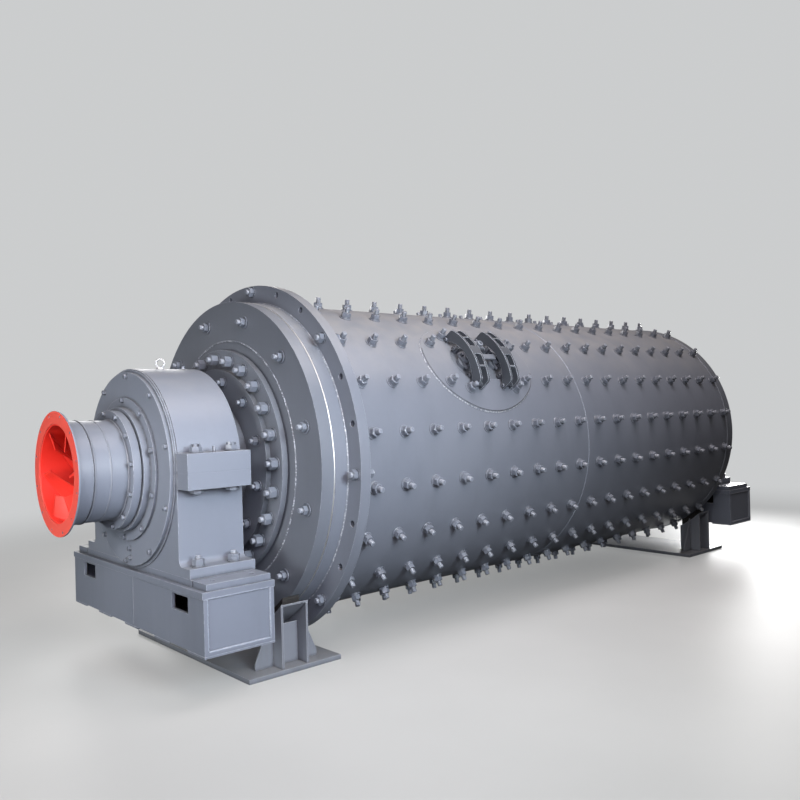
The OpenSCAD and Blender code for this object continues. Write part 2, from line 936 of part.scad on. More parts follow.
drum_shell();
gear_flange();
shell_end_ring();
seam_wire();
feed_head();
feed_trunnion();
inlet_tube();
inlet_tube_ring();
inlet_flange();
inlet_liner();
inlet_blades();
discharge_head();
discharge_trunnion();
discharge_tube();
discharge_ring();
manhole_pad();
manhole_door();
manhole_bridges();
manhole_studs();
feed_lower_housing();
feed_bearing_cap();
feed_bearing_bush();
feed_bearing_cover();
feed_packing_ring();
feed_sole_plate();
feed_base_top();
feed_base_box();
discharge_lower_housing();
discharge_bearing_cap();
discharge_bearing_bush();
discharge_bearing_cover();
discharge_packing_ring();
discharge_sole_plate();
discharge_base_top();
discharge_base_box();
feed_stand_plate();
feed_stand_posts();
discharge_stand_plate();
discharge_stand_posts();
saddles();
saddle_linings();
lifting_eyes();
end_pads();
base_strips();
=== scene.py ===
# Ball mill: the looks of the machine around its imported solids.
# Metres, +Z up, X along the mill from the feed end (-X) to the discharge end (+X).
import math
import random

import bpy
from mathutils import Matrix, Vector


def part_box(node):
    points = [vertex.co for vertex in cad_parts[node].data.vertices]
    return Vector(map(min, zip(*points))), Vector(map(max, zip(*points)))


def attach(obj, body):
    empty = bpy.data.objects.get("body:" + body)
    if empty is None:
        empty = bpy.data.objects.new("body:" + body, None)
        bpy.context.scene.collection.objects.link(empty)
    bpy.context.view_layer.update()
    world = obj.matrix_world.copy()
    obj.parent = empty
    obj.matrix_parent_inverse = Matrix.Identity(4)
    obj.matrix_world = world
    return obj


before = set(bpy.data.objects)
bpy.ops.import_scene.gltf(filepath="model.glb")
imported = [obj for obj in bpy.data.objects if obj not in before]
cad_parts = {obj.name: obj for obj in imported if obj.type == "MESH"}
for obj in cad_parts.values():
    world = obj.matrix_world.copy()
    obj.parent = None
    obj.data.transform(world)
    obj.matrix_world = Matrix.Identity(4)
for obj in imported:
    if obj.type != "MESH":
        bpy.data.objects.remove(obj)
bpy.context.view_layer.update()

# Sizes of the solids. Drum places count from the first ring of liner bolts, ends from the head faces.
FIRST_RING_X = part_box("gear_flange")[1][0] + 0.133
AXIS_Z = 1.196
SHELL_R = 1.018
RIM_R = 1.024
PAD_R = 1.028
GEAR_FRONT = FIRST_RING_X - 0.203
GEAR_BACK = FIRST_RING_X - 0.133
SEAM_X = FIRST_RING_X + 2.118
OUT_RIM = FIRST_RING_X + 4.31
INLET_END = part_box("inlet_flange")[0][0]
MANHOLE_X = FIRST_RING_X + 1.125
MANHOLE_TURN = 53.6

# Both ends: the head's face, and which way along X it looks.
ENDS = {"feed": (FIRST_RING_X - 0.389, -1), "discharge": (FIRST_RING_X + 4.4, 1)}
# From the head's face to the near side of the bearing.
BEARING_REACH = {"feed": 0.251, "discharge": 0.164}
TRUNNION_FLANGE_REACH = 0.054
NECK_REACH = 0.085
HOUSING_W = 0.398
COVER_T = 0.028
SEAL_T = 0.016
PACKING_RING_T = 0.039
PACKING_GAP = 0.006
TUBE_RING_T = 0.046
FOOT_TOP = AXIS_Z - 0.507
LUG_TOP = AXIS_Z + 0.106
LUG_UNDERSIDE = AXIS_Z - 0.09
CAP_TOP = AXIS_Z + 0.5895

RING_PITCH = 0.25
RING_COUNT = 18
ROW_COUNT = 20
FIRST_ROW = 26.3

dice = random.Random(7)


# -------- materials
class Bench:
    """Short words for adding nodes to one tree."""

    def __init__(self, tree):
        self.tree = tree

    def add(self, kind, **settings):
        node = self.tree.nodes.new("ShaderNode" + kind)
        for key, value in settings.items():
            setattr(node, key, value)
        return node

    def feed(self, socket, value):
        if isinstance(value, bpy.types.NodeSocket):
            self.tree.links.new(value, socket)
        elif isinstance(value, (tuple, list)) and len(value) == 3 and socket.type == "RGBA":
            socket.default_value = (*value, 1.0)
        else:
            socket.default_value = value

    def math(self, operation, a, b=0.0, clamp=False):
        node = self.add("Math", operation=operation, use_clamp=clamp)
        self.feed(node.inputs[0], a)
        self.feed(node.inputs[1], b)
        return node.outputs[0]

    def times(self, first, *others):
        """The product of masks and values."""
        for other in others:
            first = self.math("MULTIPLY", first, other)
        return first

    def mix(self, factor, a, b):
        node = self.add("Mix", data_type="RGBA", blend_type="MIX")
        self.feed(node.inputs[0], factor)
        self.feed(node.inputs[6], a)
        self.feed(node.inputs[7], b)
        return node.outputs[2]

    def span(self, value, low, high, to_low=0.0, to_high=1.0):
        """The value eased from low..high to to_low..to_high."""
        node = self.add("MapRange", interpolation_type="SMOOTHSTEP")
        self.feed(node.inputs[0], value)
        for socket, number in zip(node.inputs[1:5], (low, high, to_low, to_high)):
            self.feed(socket, number)
        return node.outputs[0]

    def vector(self, operation, a, b=(0, 0, 0)):
        node = self.add("VectorMath", operation=operation)
        self.feed(node.inputs[0], a)
        self.feed(node.inputs[1], b)
        return node.outputs

    def noise(self, place, scale, detail, rough, stretch=None):
        if stretch:
            place = self.vector("MULTIPLY", place, stretch)[0]
        node = self.add("TexNoise")
        self.feed(node.inputs["Vector"], place)
        self.feed(node.inputs["Scale"], scale)
        self.feed(node.inputs["Detail"], detail)
        self.feed(node.inputs["Roughness"], rough)
        return node.outputs["Fac"]

    def where(self):
        return self.add("TexCoord").outputs["Object"]

    def facing(self):
        return self.add("TexCoord").outputs["Normal"]

    def split(self, vector):
        node = self.add("SeparateXYZ")
        self.feed(node.inputs[0], vector)
        return node.outputs

    def group(self, tree, **values):
        node = self.add("Group")
        node.node_tree = tree
        for label, value in values.items():
            self.feed(node.inputs[label.replace("_", " ")], value)
        return node.outputs


def new_group(name, inputs, outputs):
    """A shader node group with named sockets. inputs are (name, kind, value), outputs (name, kind)."""
    tree = bpy.data.node_groups.new(name, "ShaderNodeTree")
    for label, kind, value in inputs:
        socket = tree.interface.new_socket(label, in_out="INPUT", socket_type="NodeSocket" + kind)
        if value is not None:
            socket.default_value = value
    for label, kind in outputs:
        tree.interface.new_socket(label, in_out="OUTPUT", socket_type="NodeSocket" + kind)
    start = tree.nodes.new("NodeGroupInput")
    end = tree.nodes.new("NodeGroupOutput")
    return Bench(tree), start.outputs, end.inputs


MASK = [("Mask", "Float")]


def paint_tone_group():
    """Large soft patches, fine mottle and faint runs in a coat of paint."""
    b, given, result = new_group(
        "Paint tone",
        [("Colour", "Color", (0.3, 0.33, 0.4, 1)), ("Light", "Color", (0.36, 0.39, 0.47, 1)),
         ("Dark", "Color", (0.2, 0.22, 0.27, 1)), ("Patch size", "Float", 1.6), ("Mottle", "Float", 0.5)],
        [("Colour", "Color"), ("Patches", "Float")])
    place = b.where()
    broad = b.span(b.noise(place, given["Patch size"], detail=5, rough=0.55), 0.35, 0.68)
    fine = b.span(b.noise(place, 38, detail=3, rough=0.6), 0.35, 0.7)
    runs = b.span(b.noise(place, 2.2, detail=4, rough=0.6, stretch=(3.0, 3.0, 0.35)), 0.45, 0.75)
    patches = b.times(broad, given["Mottle"])
    colour = b.mix(patches, given["Colour"], given["Light"])
    colour = b.mix(b.times(runs, b.times(given["Mottle"], 0.35)), colour, given["Dark"])
    colour = b.mix(b.times(fine, 0.12), colour, given["Light"])
    b.feed(result["Colour"], colour)
    b.feed(result["Patches"], patches)
    return b.tree


def edge_wear_and_highlight_group():
    """Mask of the corners that get rubbed and painted lighter as highlights, broken up by noise, and the
    normal of a slightly rounded edge.
    """
    b, given, result = new_group(
        "Edge wear",
        [("Radius", "Float", 0.003), ("Break up", "Float", 26.0), ("Evenness", "Float", 0.0),
         ("Amount", "Float", 0.6)],
        MASK + [("Normal", "Vector")])
    rounded = b.add("Bevel", samples=4)
    b.feed(rounded.inputs["Radius"], given["Radius"])
    plain = b.add("NewGeometry").outputs["Normal"]
    along = b.vector("DOT_PRODUCT", rounded.outputs["Normal"], plain)["Value"]
    bend = b.span(along, 0.992, 0.90)
    broken = b.noise(b.where(), given["Break up"], detail=5, rough=0.65)
    ragged = b.span(broken, 0.38, 0.62, given["Evenness"])
    b.feed(result["Mask"], b.times(bend, ragged, given["Amount"]))
    b.feed(result["Normal"], rounded.outputs["Normal"])
    return b.tree


def dust_and_top_light_group():
    """Mask of the shop dust that settles in soft clouds on faces that look up; the lighter tops it gives are
    also painted top light.
    """
    b, given, result = new_group(
        "Dust and top light", [("Amount", "Float", 0.5), ("Size", "Float", 7.0)], MASK)
    up = b.span(b.split(b.facing())["Z"], 0.35, 0.98)
    cloud = b.span(b.noise(b.where(), given["Size"], detail=6, rough=0.6), 0.3, 0.75, 0.35, 1.0)
    b.feed(result["Mask"], b.times(up, cloud, given["Amount"]))
    return b.tree


def corner_shade_group():
    """Mask of painted shade in tight corners, from ambient occlusion: under nuts, along welds, between rings.
    """
    b, given, result = new_group(
        "Corner grime", [("Reach", "Float", 0.03), ("Amount", "Float", 0.7)], MASK)
    room = b.add("AmbientOcclusion", samples=6)
    b.feed(room.inputs["Distance"], given["Reach"])
    tight = b.span(room.outputs["AO"], 0.86, 0.4)
    ragged = b.span(b.noise(b.where(), 28, detail=4, rough=0.6), 0.3, 0.7, 0.7, 1.0)
    b.feed(result["Mask"], b.times(tight, ragged, given["Amount"]))
    return b.tree


def sprayed_coat_group():
    """Height of a sprayed enamel coat over plate: orange peel, with a slow wave of the plate under it."""
    b, given, result = new_group(
        "Sprayed coat",
        [("Peel size", "Float", 220.0), ("Peel", "Float", 0.5), ("Wave size", "Float", 3.0),
         ("Wave", "Float", 0.5)],
        [("Height", "Float")])
    place = b.where()
    peel = b.times(b.noise(place, given["Peel size"], detail=2, rough=0.5), given["Peel"])
    wave = b.times(b.noise(place, given["Wave size"], detail=3, rough=0.5), given["Wave"])
    b.feed(result["Height"], b.math("ADD", peel, wave))
    return b.tree


def fine_scratch_group():
    """Mask of thin rubbed lines along a machined or handled face."""
    b, given, result = new_group(
        "Fine scratches", [("Fineness", "Float", 60.0), ("Amount", "Float", 0.5)], MASK)
    lines = b.noise(b.where(), given["Fineness"], detail=4, rough=0.7, stretch=(0.25, 6.0, 3.0))
    b.feed(result["Mask"], b.times(b.span(lines, 0.56, 0.72), given["Amount"]))
    return b.tree


def box_hollow_group():
    """Mask of what lies inside an upright box, such as the inner faces of a welded box, which are given dark
    primer that is also painted shade.
    """
    b, given, result = new_group(
        "Box hollow", [("Centre", "Vector", None), ("Half size", "Vector", None)], MASK)
    away = b.vector("ABSOLUTE", b.vector("SUBTRACT", b.where(), given["Centre"])[0])[0]
    depth = b.split(b.vector("SUBTRACT", given["Half size"], away)[0])
    b.feed(result["Mask"], b.times(*(b.span(depth[axis], 0.0, 0.004) for axis in "XYZ")))
    return b.tree


def weld_highlight_group():
    """Mask of painted highlights on the ripples of a weld bead, where they would catch the light. Share says
    how much of the bead does.
    """
    b, given, result = new_group("Weld dashes", [("Share", "Float", 0.4)], MASK)
    level = b.math("SUBTRACT", 0.62, b.times(given["Share"], 0.24))
    above = b.math("SUBTRACT", b.noise(b.where(), 80, detail=2, rough=0.5), level)
    b.feed(result["Mask"], b.span(above, 0.0, 0.05))
    return b.tree


TONE = paint_tone_group()
WEAR_AND_HIGHLIGHT = edge_wear_and_highlight_group()
DUST_AND_TOP_LIGHT = dust_and_top_light_group()
COAT = sprayed_coat_group()
SCRATCH = fine_scratch_group()
CORNER_SHADE = corner_shade_group()
HOLLOW = box_hollow_group()
WELD_HIGHLIGHTS = weld_highlight_group()

# Depth in metres and strength of the relief of sprayed paint, drawn lines and wood grain.
PAINT_RELIEF = (0.0012, 0.35)
LINE_RELIEF = (0.0004, 0.3)
GRAIN_RELIEF = (0.0015, 0.6)


def new_material(name):
    material = bpy.data.materials.new(name)
    material.use_nodes = True
    material.node_tree.nodes.clear()
    b = Bench(material.node_tree)
    surface = b.add("BsdfPrincipled")
    out = b.add("OutputMaterial")
    material.node_tree.links.new(surface.outputs["BSDF"], out.inputs["Surface"])
    return material, b, surface.inputs


def bump(b, height, relief, normal=None):
    node = b.add("Bump")
    node.inputs["Distance"].default_value, node.inputs["Strength"].default_value = relief
    b.feed(node.inputs["Height"], height)
    if normal:
        b.feed(node.inputs["Normal"], normal)
    return node.outputs["Normal"]


def off_joint(b, mask, joint):
    """The mask less what lies close to the height of a joint between two castings."""
    away = b.math("ABSOLUTE", b.math("SUBTRACT", b.split(b.where())["Z"], joint))
    return b.times(mask, b.span(away, 0.006, 0.012))


def outer_band(b, radius):
    """Mask of what lies outside a radius from the drum's axis and doesn't look to the feed side."""
    place = b.split(b.where())
    rise = b.math("SUBTRACT", place["Z"], AXIS_Z)
    out = b.math("SQRT", b.math("ADD", b.times(rise, rise), b.times(place["Y"], place["Y"])))
    turned_away = b.span(b.split(b.facing())["X"], -0.75, -0.45)
    return b.times(turned_away, b.math("GREATER_THAN", out, radius))


GREY = (0.134, 0.149, 0.184)
GREY_LIGHT = (0.158, 0.173, 0.21)
GREY_DARK = (0.085, 0.096, 0.12)
HOUSING_GREY = (0.143, 0.162, 0.205)
# Light colour of worn edges, which also stands for painted highlights along the edges.
EDGE_WEAR_AND_HIGHLIGHT = (0.46, 0.48, 0.53)
# Pale dust on faces that look up, which is also painted top light.
PALE_DUST_AND_TOP_LIGHT = (0.28, 0.27, 0.255)
BASE_DUST = (0.24, 0.25, 0.275)
RED_DUST = (0.4, 0.14, 0.11)
WOOD_DUST = (0.4, 0.38, 0.35)
# Colour of the painted shade in tight corners.
PAINTED_SHADE_COLOUR = (0.02, 0.021, 0.025)
# Dark primer inside the base boxes, near black as painted shade.
PRIMER_AND_SHADE = (0.016, 0.011, 0.01)


# What light patches, dust and scratches add to the roughness.
PATCH_DULLS, DUST_DULLS, SCRATCH_DULLS = 0.12, 0.35, 0.2


def enamel(name, tones, gloss, mottle=0.5, edge=0.003, wear_and_highlight=0.5, even=0.0, worn_and_highlight=EDGE_WEAR_AND_HIGHLIGHT, dust_and_top_light=0.4,
           dust_colour=PALE_DUST_AND_TOP_LIGHT, painted_shade=0.7, reach=0.03, peel=0.5, coat=0.15, joint=None, rim=None,
           inside=None):
    """Sprayed machine enamel: patchy tone, worn edges that also stand for painted highlights, painted shade
    in the tight corners, settled dust that also stands for painted top light, and orange peel.

    tones are the colour, its light patches and its dark runs. even evens out the lighter edges. No edge is
    lightened at the height joint. rim is (radius, colour) of the band outside a radius that is left in
    another colour.
    inside is (box, colour) of a hollow left in dark primer, which is also painted shade."""
    material, b, put = new_material(name)
    tone = b.group(TONE, Colour=tones[0], Light=tones[1], Dark=tones[2], Mottle=mottle)
    rubbed = b.group(WEAR_AND_HIGHLIGHT, Radius=edge, Evenness=even, Amount=wear_and_highlight)
    dust_and_top_light_mask = b.group(DUST_AND_TOP_LIGHT, Amount=dust_and_top_light)["Mask"]
    # Edges turn lighter: partly real wear and partly painted highlight.
    bare_and_lit = off_joint(b, rubbed["Mask"], joint) if joint else rubbed["Mask"]
    paint = b.mix(bare_and_lit, tone["Colour"], worn_and_highlight)
    if rim:
        paint = b.mix(outer_band(b, rim[0]), paint, rim[1])
    if inside:
        low, high = inside[0]
        hollow = b.group(HOLLOW, Centre=(low + high) / 2, Half_size=(high - low) / 2)
        paint = b.mix(hollow["Mask"], paint, inside[1])
    # Painted shade: darker where other faces close in, from ambient occlusion.
    if painted_shade:
        paint = b.mix(b.group(CORNER_SHADE, Reach=reach, Amount=painted_shade)["Mask"], paint, PAINTED_SHADE_COLOUR)
    b.feed(put["Base Color"], b.mix(dust_and_top_light_mask, paint, dust_colour))
    dull = b.math("ADD", gloss, b.times(tone["Patches"], PATCH_DULLS))
    b.feed(put["Roughness"], b.math("ADD", dull, b.times(dust_and_top_light_mask, DUST_DULLS), clamp=True))
    height = b.group(COAT, Peel=peel, Wave=0.6)["Height"]
    b.feed(put["Normal"], bump(b, height, PAINT_RELIEF, rubbed["Normal"]))
    put["Coat Weight"].default_value = coat
    put["Coat Roughness"].default_value = 0.25
    return material


def weld_enamel(name, colour, highlight_colour, share):
    """Painted weld bead. The tops of its ripples get painted highlights in short dashes; share says how much
    of it does.
    """
    material, b, put = new_material(name)
    light, dark = (tuple(c * factor for c in colour) for factor in (1.3, 0.6))
    tone = b.group(TONE, Colour=colour, Light=light, Dark=dark, Mottle=0.9)
    highlights = b.group(WELD_HIGHLIGHTS, Share=share)["Mask"]
    # Painted shade in the corners beside the bead.
    corner_shade = b.group(CORNER_SHADE, Reach=0.012, Amount=0.9)["Mask"]
    b.feed(put["Base Color"], b.mix(corner_shade, b.mix(highlights, tone["Colour"], highlight_colour), PAINTED_SHADE_COLOUR))
    b.feed(put["Roughness"], b.span(highlights, 0, 1, 0.42, 0.22))
    b.feed(put["Normal"], bump(b, b.group(COAT, Peel=1.0, Wave=0.3)["Height"], PAINT_RELIEF))
    put["Coat Weight"].default_value = 0.3
    put["Coat Roughness"].default_value = 0.2
    return material


def bare_metal(name, colour, dark, gloss, fineness=60.0, shine=1.0):
    """Drawn, turned or brushed metal with fine lines. shine is less than 1 under a dull zinc coat."""
    material, b, put = new_material(name)
    light = tuple(min(1, c * 1.15) for c in colour)
    tone = b.group(TONE, Colour=colour, Light=light, Dark=dark, Mottle=0.6)
    lines = b.group(SCRATCH, Fineness=fineness, Amount=0.5)["Mask"]
    rubbed = b.group(WEAR_AND_HIGHLIGHT, Radius=0.0015, Amount=0.3)
    b.feed(put["Base Color"], b.mix(lines, tone["Colour"], dark))
    b.feed(put["Roughness"], b.math("ADD", gloss, b.times(lines, SCRATCH_DULLS), clamp=True))
    put["Metallic"].default_value = shine
    b.feed(put["Normal"], bump(b, lines, LINE_RELIEF, rubbed["Normal"]))
    return material


def timber(name, colour, dark):
    """Dark oiled hardwood with grain along the arc of the saddle; its near-black colour is also painted
    shade.
    """
    material, b, put = new_material(name)
    place = b.where()
    rings = b.noise(place, 18, detail=6, rough=0.65, stretch=(0.4, 5.0, 5.0))
    fibres = b.noise(place, 120, detail=3, rough=0.7, stretch=(0.2, 4.0, 4.0))
    grain = b.times(b.span(rings, 0.35, 0.65), b.span(fibres, 0.25, 0.8, 0.5, 1.0))
    dust_and_top_light_mask = b.group(DUST_AND_TOP_LIGHT, Amount=0.5)["Mask"]
    b.feed(put["Base Color"], b.mix(dust_and_top_light_mask, b.mix(grain, dark, colour), WOOD_DUST))
    b.feed(put["Roughness"], b.span(grain, 0.0, 1.0, 0.85, 0.6))
    rubbed = b.group(WEAR_AND_HIGHLIGHT, Radius=0.002, Amount=0.0)
    b.feed(put["Normal"], bump(b, grain, GRAIN_RELIEF, rubbed["Normal"]))
    return material


def base_enamel(name, **more):
    return enamel(name, ((0.13, 0.148, 0.19), (0.153, 0.172, 0.217), GREY_DARK), 0.42, edge=0.004, wear_and_highlight=1.0,
                  even=0.3, dust_and_top_light=0.35, dust_colour=BASE_DUST, painted_shade=0.85, **more)


def base_hollow(side):
    """The inside of a base box, inwards of its plates."""
    low, high = (Vector(corner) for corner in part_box(side + "_base_box"))
    wall = Vector((0.014, 0.028, 0.012))
    return low + wall, high - wall


# The drum's heavy dust lightens its upward faces: partly dust, partly painted top light.
paint_drum = enamel(
    "Drum enamel", (GREY, GREY_LIGHT, GREY_DARK), 0.42, mottle=0.45, wear_and_highlight=0.8, even=0.3, dust_and_top_light=0.6, painted_shade=0.4,
    reach=0.016)
# Darker than the drum's enamel: partly its own tone and partly painted shade.
paint_heads_shaded = enamel(
    "Head enamel with painted shade", ((0.122, 0.136, 0.165), (0.142, 0.157, 0.188), (0.09, 0.1, 0.125)), 0.38, wear_and_highlight=0.9,
    dust_and_top_light=0.3, painted_shade=0.45, reach=0.016)
# The long corner reach darkens the neck beside the housing: painted shadow.
paint_trunnions = enamel(
    "Trunnion enamel", ((0.132, 0.147, 0.178), (0.152, 0.168, 0.201), (0.097, 0.108, 0.134)), 0.38, wear_and_highlight=0.9,
    dust_and_top_light=0.25, painted_shade=0.75, reach=0.14)
# Dark enamel with bright even edges: the dark is painted shade on the plates' sides, the edges painted
# highlights.
paint_bridges_shaded = enamel(
    "Bridge enamel with painted shade", ((0.06, 0.067, 0.082), (0.072, 0.08, 0.096), (0.045, 0.05, 0.062)), 0.36, edge=0.005,
    wear_and_highlight=1.0, even=1.0, worn_and_highlight=(0.6, 0.65, 0.73), dust_and_top_light=0.1, painted_shade=0.8, reach=0.012)
paint_housing = enamel(
    "Housing enamel", (HOUSING_GREY, (0.162, 0.182, 0.226), (0.098, 0.11, 0.138)), 0.47, mottle=0.35,
    edge=0.0035, wear_and_highlight=1.0, even=0.4, worn_and_highlight=(0.52, 0.54, 0.6), dust_and_top_light=0.3, painted_shade=0.95, reach=0.04, joint=AXIS_Z)
paint_base = base_enamel("Base enamel")
paint_stand = enamel(
    "Stand enamel", ((0.14, 0.155, 0.187), (0.17, 0.184, 0.215), (0.08, 0.08, 0.086)), 0.45, mottle=0.9,
    edge=0.004, wear_and_highlight=1.0, even=0.5, worn_and_highlight=(0.36, 0.37, 0.4))
paint_bolts = enamel(
    "Bolt enamel", ((0.135, 0.151, 0.186), (0.16, 0.178, 0.217), (0.066, 0.075, 0.095)), 0.24, mottle=0.6,
    edge=0.0014, wear_and_highlight=0.7, worn_and_highlight=(0.42, 0.44, 0.5), dust_and_top_light=0.05, painted_shade=1.0, peel=0.9, coat=0.4)
paint_liner_bolts = enamel(
    "Liner bolt enamel", ((0.15, 0.167, 0.205), (0.18, 0.198, 0.24), (0.08, 0.09, 0.112)), 0.3, mottle=0.8,
    edge=0.0014, wear_and_highlight=0.8, worn_and_highlight=(0.45, 0.47, 0.53), dust_and_top_light=0.1, painted_shade=0.85, reach=0.012, peel=0.9, coat=0.5)
# Lighter than the nuts' enamel: painted highlight on the studs and their tips.
paint_studs_lit = enamel(
    "Stud enamel with painted highlight", ((0.175, 0.194, 0.235), (0.215, 0.235, 0.28), (0.09, 0.1, 0.122)), 0.3, mottle=0.8,
    edge=0.0022, wear_and_highlight=1.0, even=0.5, worn_and_highlight=(0.5, 0.52, 0.58), dust_and_top_light=0.05, painted_shade=1.0, reach=0.008, coat=0.5)
paint_seams = enamel(
    "Seam enamel", ((0.15, 0.165, 0.2), (0.18, 0.196, 0.235), GREY_DARK), 0.4, mottle=0.9, wear_and_highlight=0.0, dust_and_top_light=0.3,
    painted_shade=0.8, reach=0.012, peel=1.0)
paint_inlet = enamel(
    "Inlet red", ((0.63, 0.0185, 0.0103), (0.68, 0.026, 0.015), (0.4, 0.009, 0.006)), 0.5, wear_and_highlight=0.4,
    worn_and_highlight=(0.6, 0.2, 0.16), dust_and_top_light=0.05, dust_colour=RED_DUST, painted_shade=0.25, coat=0.05)
paint_inlet_face = enamel(
    "Inlet face red", ((0.505, 0.055, 0.042), (0.55, 0.075, 0.057), (0.38, 0.03, 0.021)), 0.45, mottle=0.6,
    worn_and_highlight=(0.56, 0.26, 0.21), dust_and_top_light=0.03, dust_colour=RED_DUST, painted_shade=0.2, coat=0.05, rim=(0.283, HOUSING_GREY))
# A near-black strip that stands for painted shade along the manhole pad's edge.
shade_strip = enamel(
    "Painted shade strip", ((0.03, 0.032, 0.038), (0.045, 0.048, 0.056), (0.016, 0.017, 0.02)), 0.6, mottle=0.8,
    wear_and_highlight=0.0, dust_and_top_light=0.0, painted_shade=0.0, coat=0.0)
# Each weld's second colour is its painted highlight.
head_weld = weld_enamel("Head weld", (0.11, 0.122, 0.147), (0.4, 0.42, 0.47), 0.4)
flange_weld = weld_enamel("Flange weld", (0.15, 0.165, 0.2), (0.36, 0.375, 0.41), 0.45)
pad_weld = weld_enamel("Manhole pad weld", (0.165, 0.182, 0.22), (0.46, 0.475, 0.51), 0.55)
base_weld = weld_enamel("Base weld", (0.155, 0.175, 0.22), (0.27, 0.29, 0.34), 0.45)
bronze = bare_metal("Bearing bronze", (0.56, 0.38, 0.17), (0.25, 0.16, 0.07), 0.38)
bright_steel = bare_metal("Bright wire", (0.72, 0.72, 0.71), (0.45, 0.45, 0.45), 0.45)
galvanised = bare_metal(
    "Galvanised steel", (0.5, 0.51, 0.53), (0.3, 0.31, 0.33), 0.6, fineness=30.0, shine=0.5)
# Near-black wood: partly dark timber, partly painted shade in the gap under the drum.
lining_wood_shaded = timber("Lining wood with painted shade", (0.024, 0.022, 0.021), (0.01, 0.009, 0.009))

NODE_FINISH = {
    "drum_shell": paint_drum, "gear_flange": paint_drum, "shell_end_ring": paint_drum,
    "seam_wire": bright_steel, "inlet_tube": paint_housing, "inlet_tube_ring": paint_housing,
    "inlet_flange": paint_inlet_face, "inlet_liner": paint_inlet, "inlet_blades": paint_inlet,
    "discharge_tube": paint_housing, "discharge_ring": paint_housing, "manhole_pad": paint_drum,
    "manhole_door": paint_heads_shaded, "manhole_bridges": paint_bridges_shaded, "manhole_studs": paint_bolts,
    "saddles": paint_stand, "saddle_linings": lining_wood_shaded, "lifting_eyes": galvanised,
    "end_pads": paint_base, "base_strips": paint_base,
}
END_FINISH = {
    "head": paint_heads_shaded, "trunnion": paint_trunnions, "lower_housing": paint_housing,
    "bearing_cap": paint_housing, "bearing_bush": bronze, "bearing_cover": paint_housing,
    "packing_ring": paint_housing, "sole_plate": paint_base, "base_top": paint_base,
    "stand_plate": paint_stand, "stand_posts": paint_stand,
}
for side in ENDS:
    NODE_FINISH.update({side + "_" + part: finish for part, finish in END_FINISH.items()})
    # The inside of the box gets dark primer, which is also painted shade.
    paint_box = base_enamel("Base box enamel " + side, inside=(base_hollow(side), PRIMER_AND_SHADE))
    NODE_FINISH[side + "_base_box"] = paint_box

for node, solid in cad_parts.items():
    solid.data.materials.clear()
    solid.data.materials.append(NODE_FINISH[node])


# -------- shapes
# A shape is (points, faces), and stands on Z = 0 unless it says otherwise.
def turned(profile, sides, turn=0.0):
    """A profile of (radius, height) turned round Z, closed at its last ring."""
    points, faces = [], []
    for radius, height in profile:
        for k in range(sides):
            a = 2 * math.pi * k / sides + turn
            points.append((radius * math.cos(a), radius * math.sin(a), height))
    for ring in range(len(profile) - 1):
        faces += band(ring, sides)
    faces.append(lid(len(profile) - 1, sides))
    return points, faces


def band(ring, sides):
    """The faces between one ring of points and the next."""
    faces = []
    low, high = ring * sides, (ring + 1) * sides
    for k in range(sides):
        m = (k + 1) % sides
        faces.append((low + k, low + m, high + m, high + k))
    return faces


def lid(ring, sides):
    return tuple(ring * sides + k for k in range(sides))


def hexagon(across, height, z=0.0, both=False):
    """A hexagon nut or head with its corners turned off above, and below too where both is set."""
    flat = across / 2
    corner = flat / math.cos(math.pi / 6)
    turned_r = flat * 0.97
    corner_drop = (corner - flat) * 0.6
    flat_drop = corner_drop * 0.15
    # Each ring: radius and height at the corners, then at the middles of the flats.
    if both:
        rings = [(turned_r, 0, turned_r, 0), (corner, corner_drop, flat, flat_drop)]
    else:
        rings = [(corner, 0, flat, 0)]
    rings += [(corner, height - corner_drop, flat, height - flat_drop), (turned_r, height, turned_r, height)]
    points, faces = [], []
    for corner_r, corner_z, flat_r, flat_z in rings:
        for k in range(12):
            a = math.pi * k / 6
            r, h = (flat_r, flat_z) if k % 2 else (corner_r, corner_z)
            points.append((r * math.cos(a), r * math.sin(a), z + h))
    for ring in range(len(rings) - 1):
        faces += band(ring, 12)
    faces.append(lid(len(rings) - 1, 12))
    return points, faces


def lifted(shape, z):
    points, faces = shape
    return [(x, y, h + z) for x, y, h in points], faces


def moved(shape, x, y, z, turn=None):
    """A shape set at a place, turned first about one axis: ("X", degrees)."""
    points, faces = shape
    spin = Matrix.Rotation(math.radians(turn[1]), 4, turn[0]) if turn else Matrix.Identity(4)
    place = Matrix.Translation((x, y, z)) @ spin
    return [tuple(place @ Vector(p)) for p in points], faces


def together(*shapes):
    points, faces = [], []
    for some_points, some_faces in shapes:
        start = len(points)
        points += some_points
        faces += [tuple(i + start for i in face) for face in some_faces]
    return points, faces


def thread(radius, z0, z1, sides):
    """A threaded stud from z0 to z1 with a chamfered tip: ridges as closed rings."""
    pitch = 0.006
    root = radius * 0.88
    profile = [(root, z0)]
    z = z0
    while z + pitch <= z1 - radius * 0.35:
        profile += [(root, z + pitch * 0.1), (radius, z + pitch * 0.45), (radius, z + pitch * 0.6)]
        z += pitch
    profile += [(root, z + pitch * 0.1), (radius * 0.97, z1 - radius * 0.2), (radius * 0.78, z1)]
    return turned(profile, sides)


def rod(radius, length, chamfer=0.002):
    tip = radius - chamfer
    return turned([(tip, 0), (radius, chamfer), (radius, length - chamfer), (tip, length)], 20)


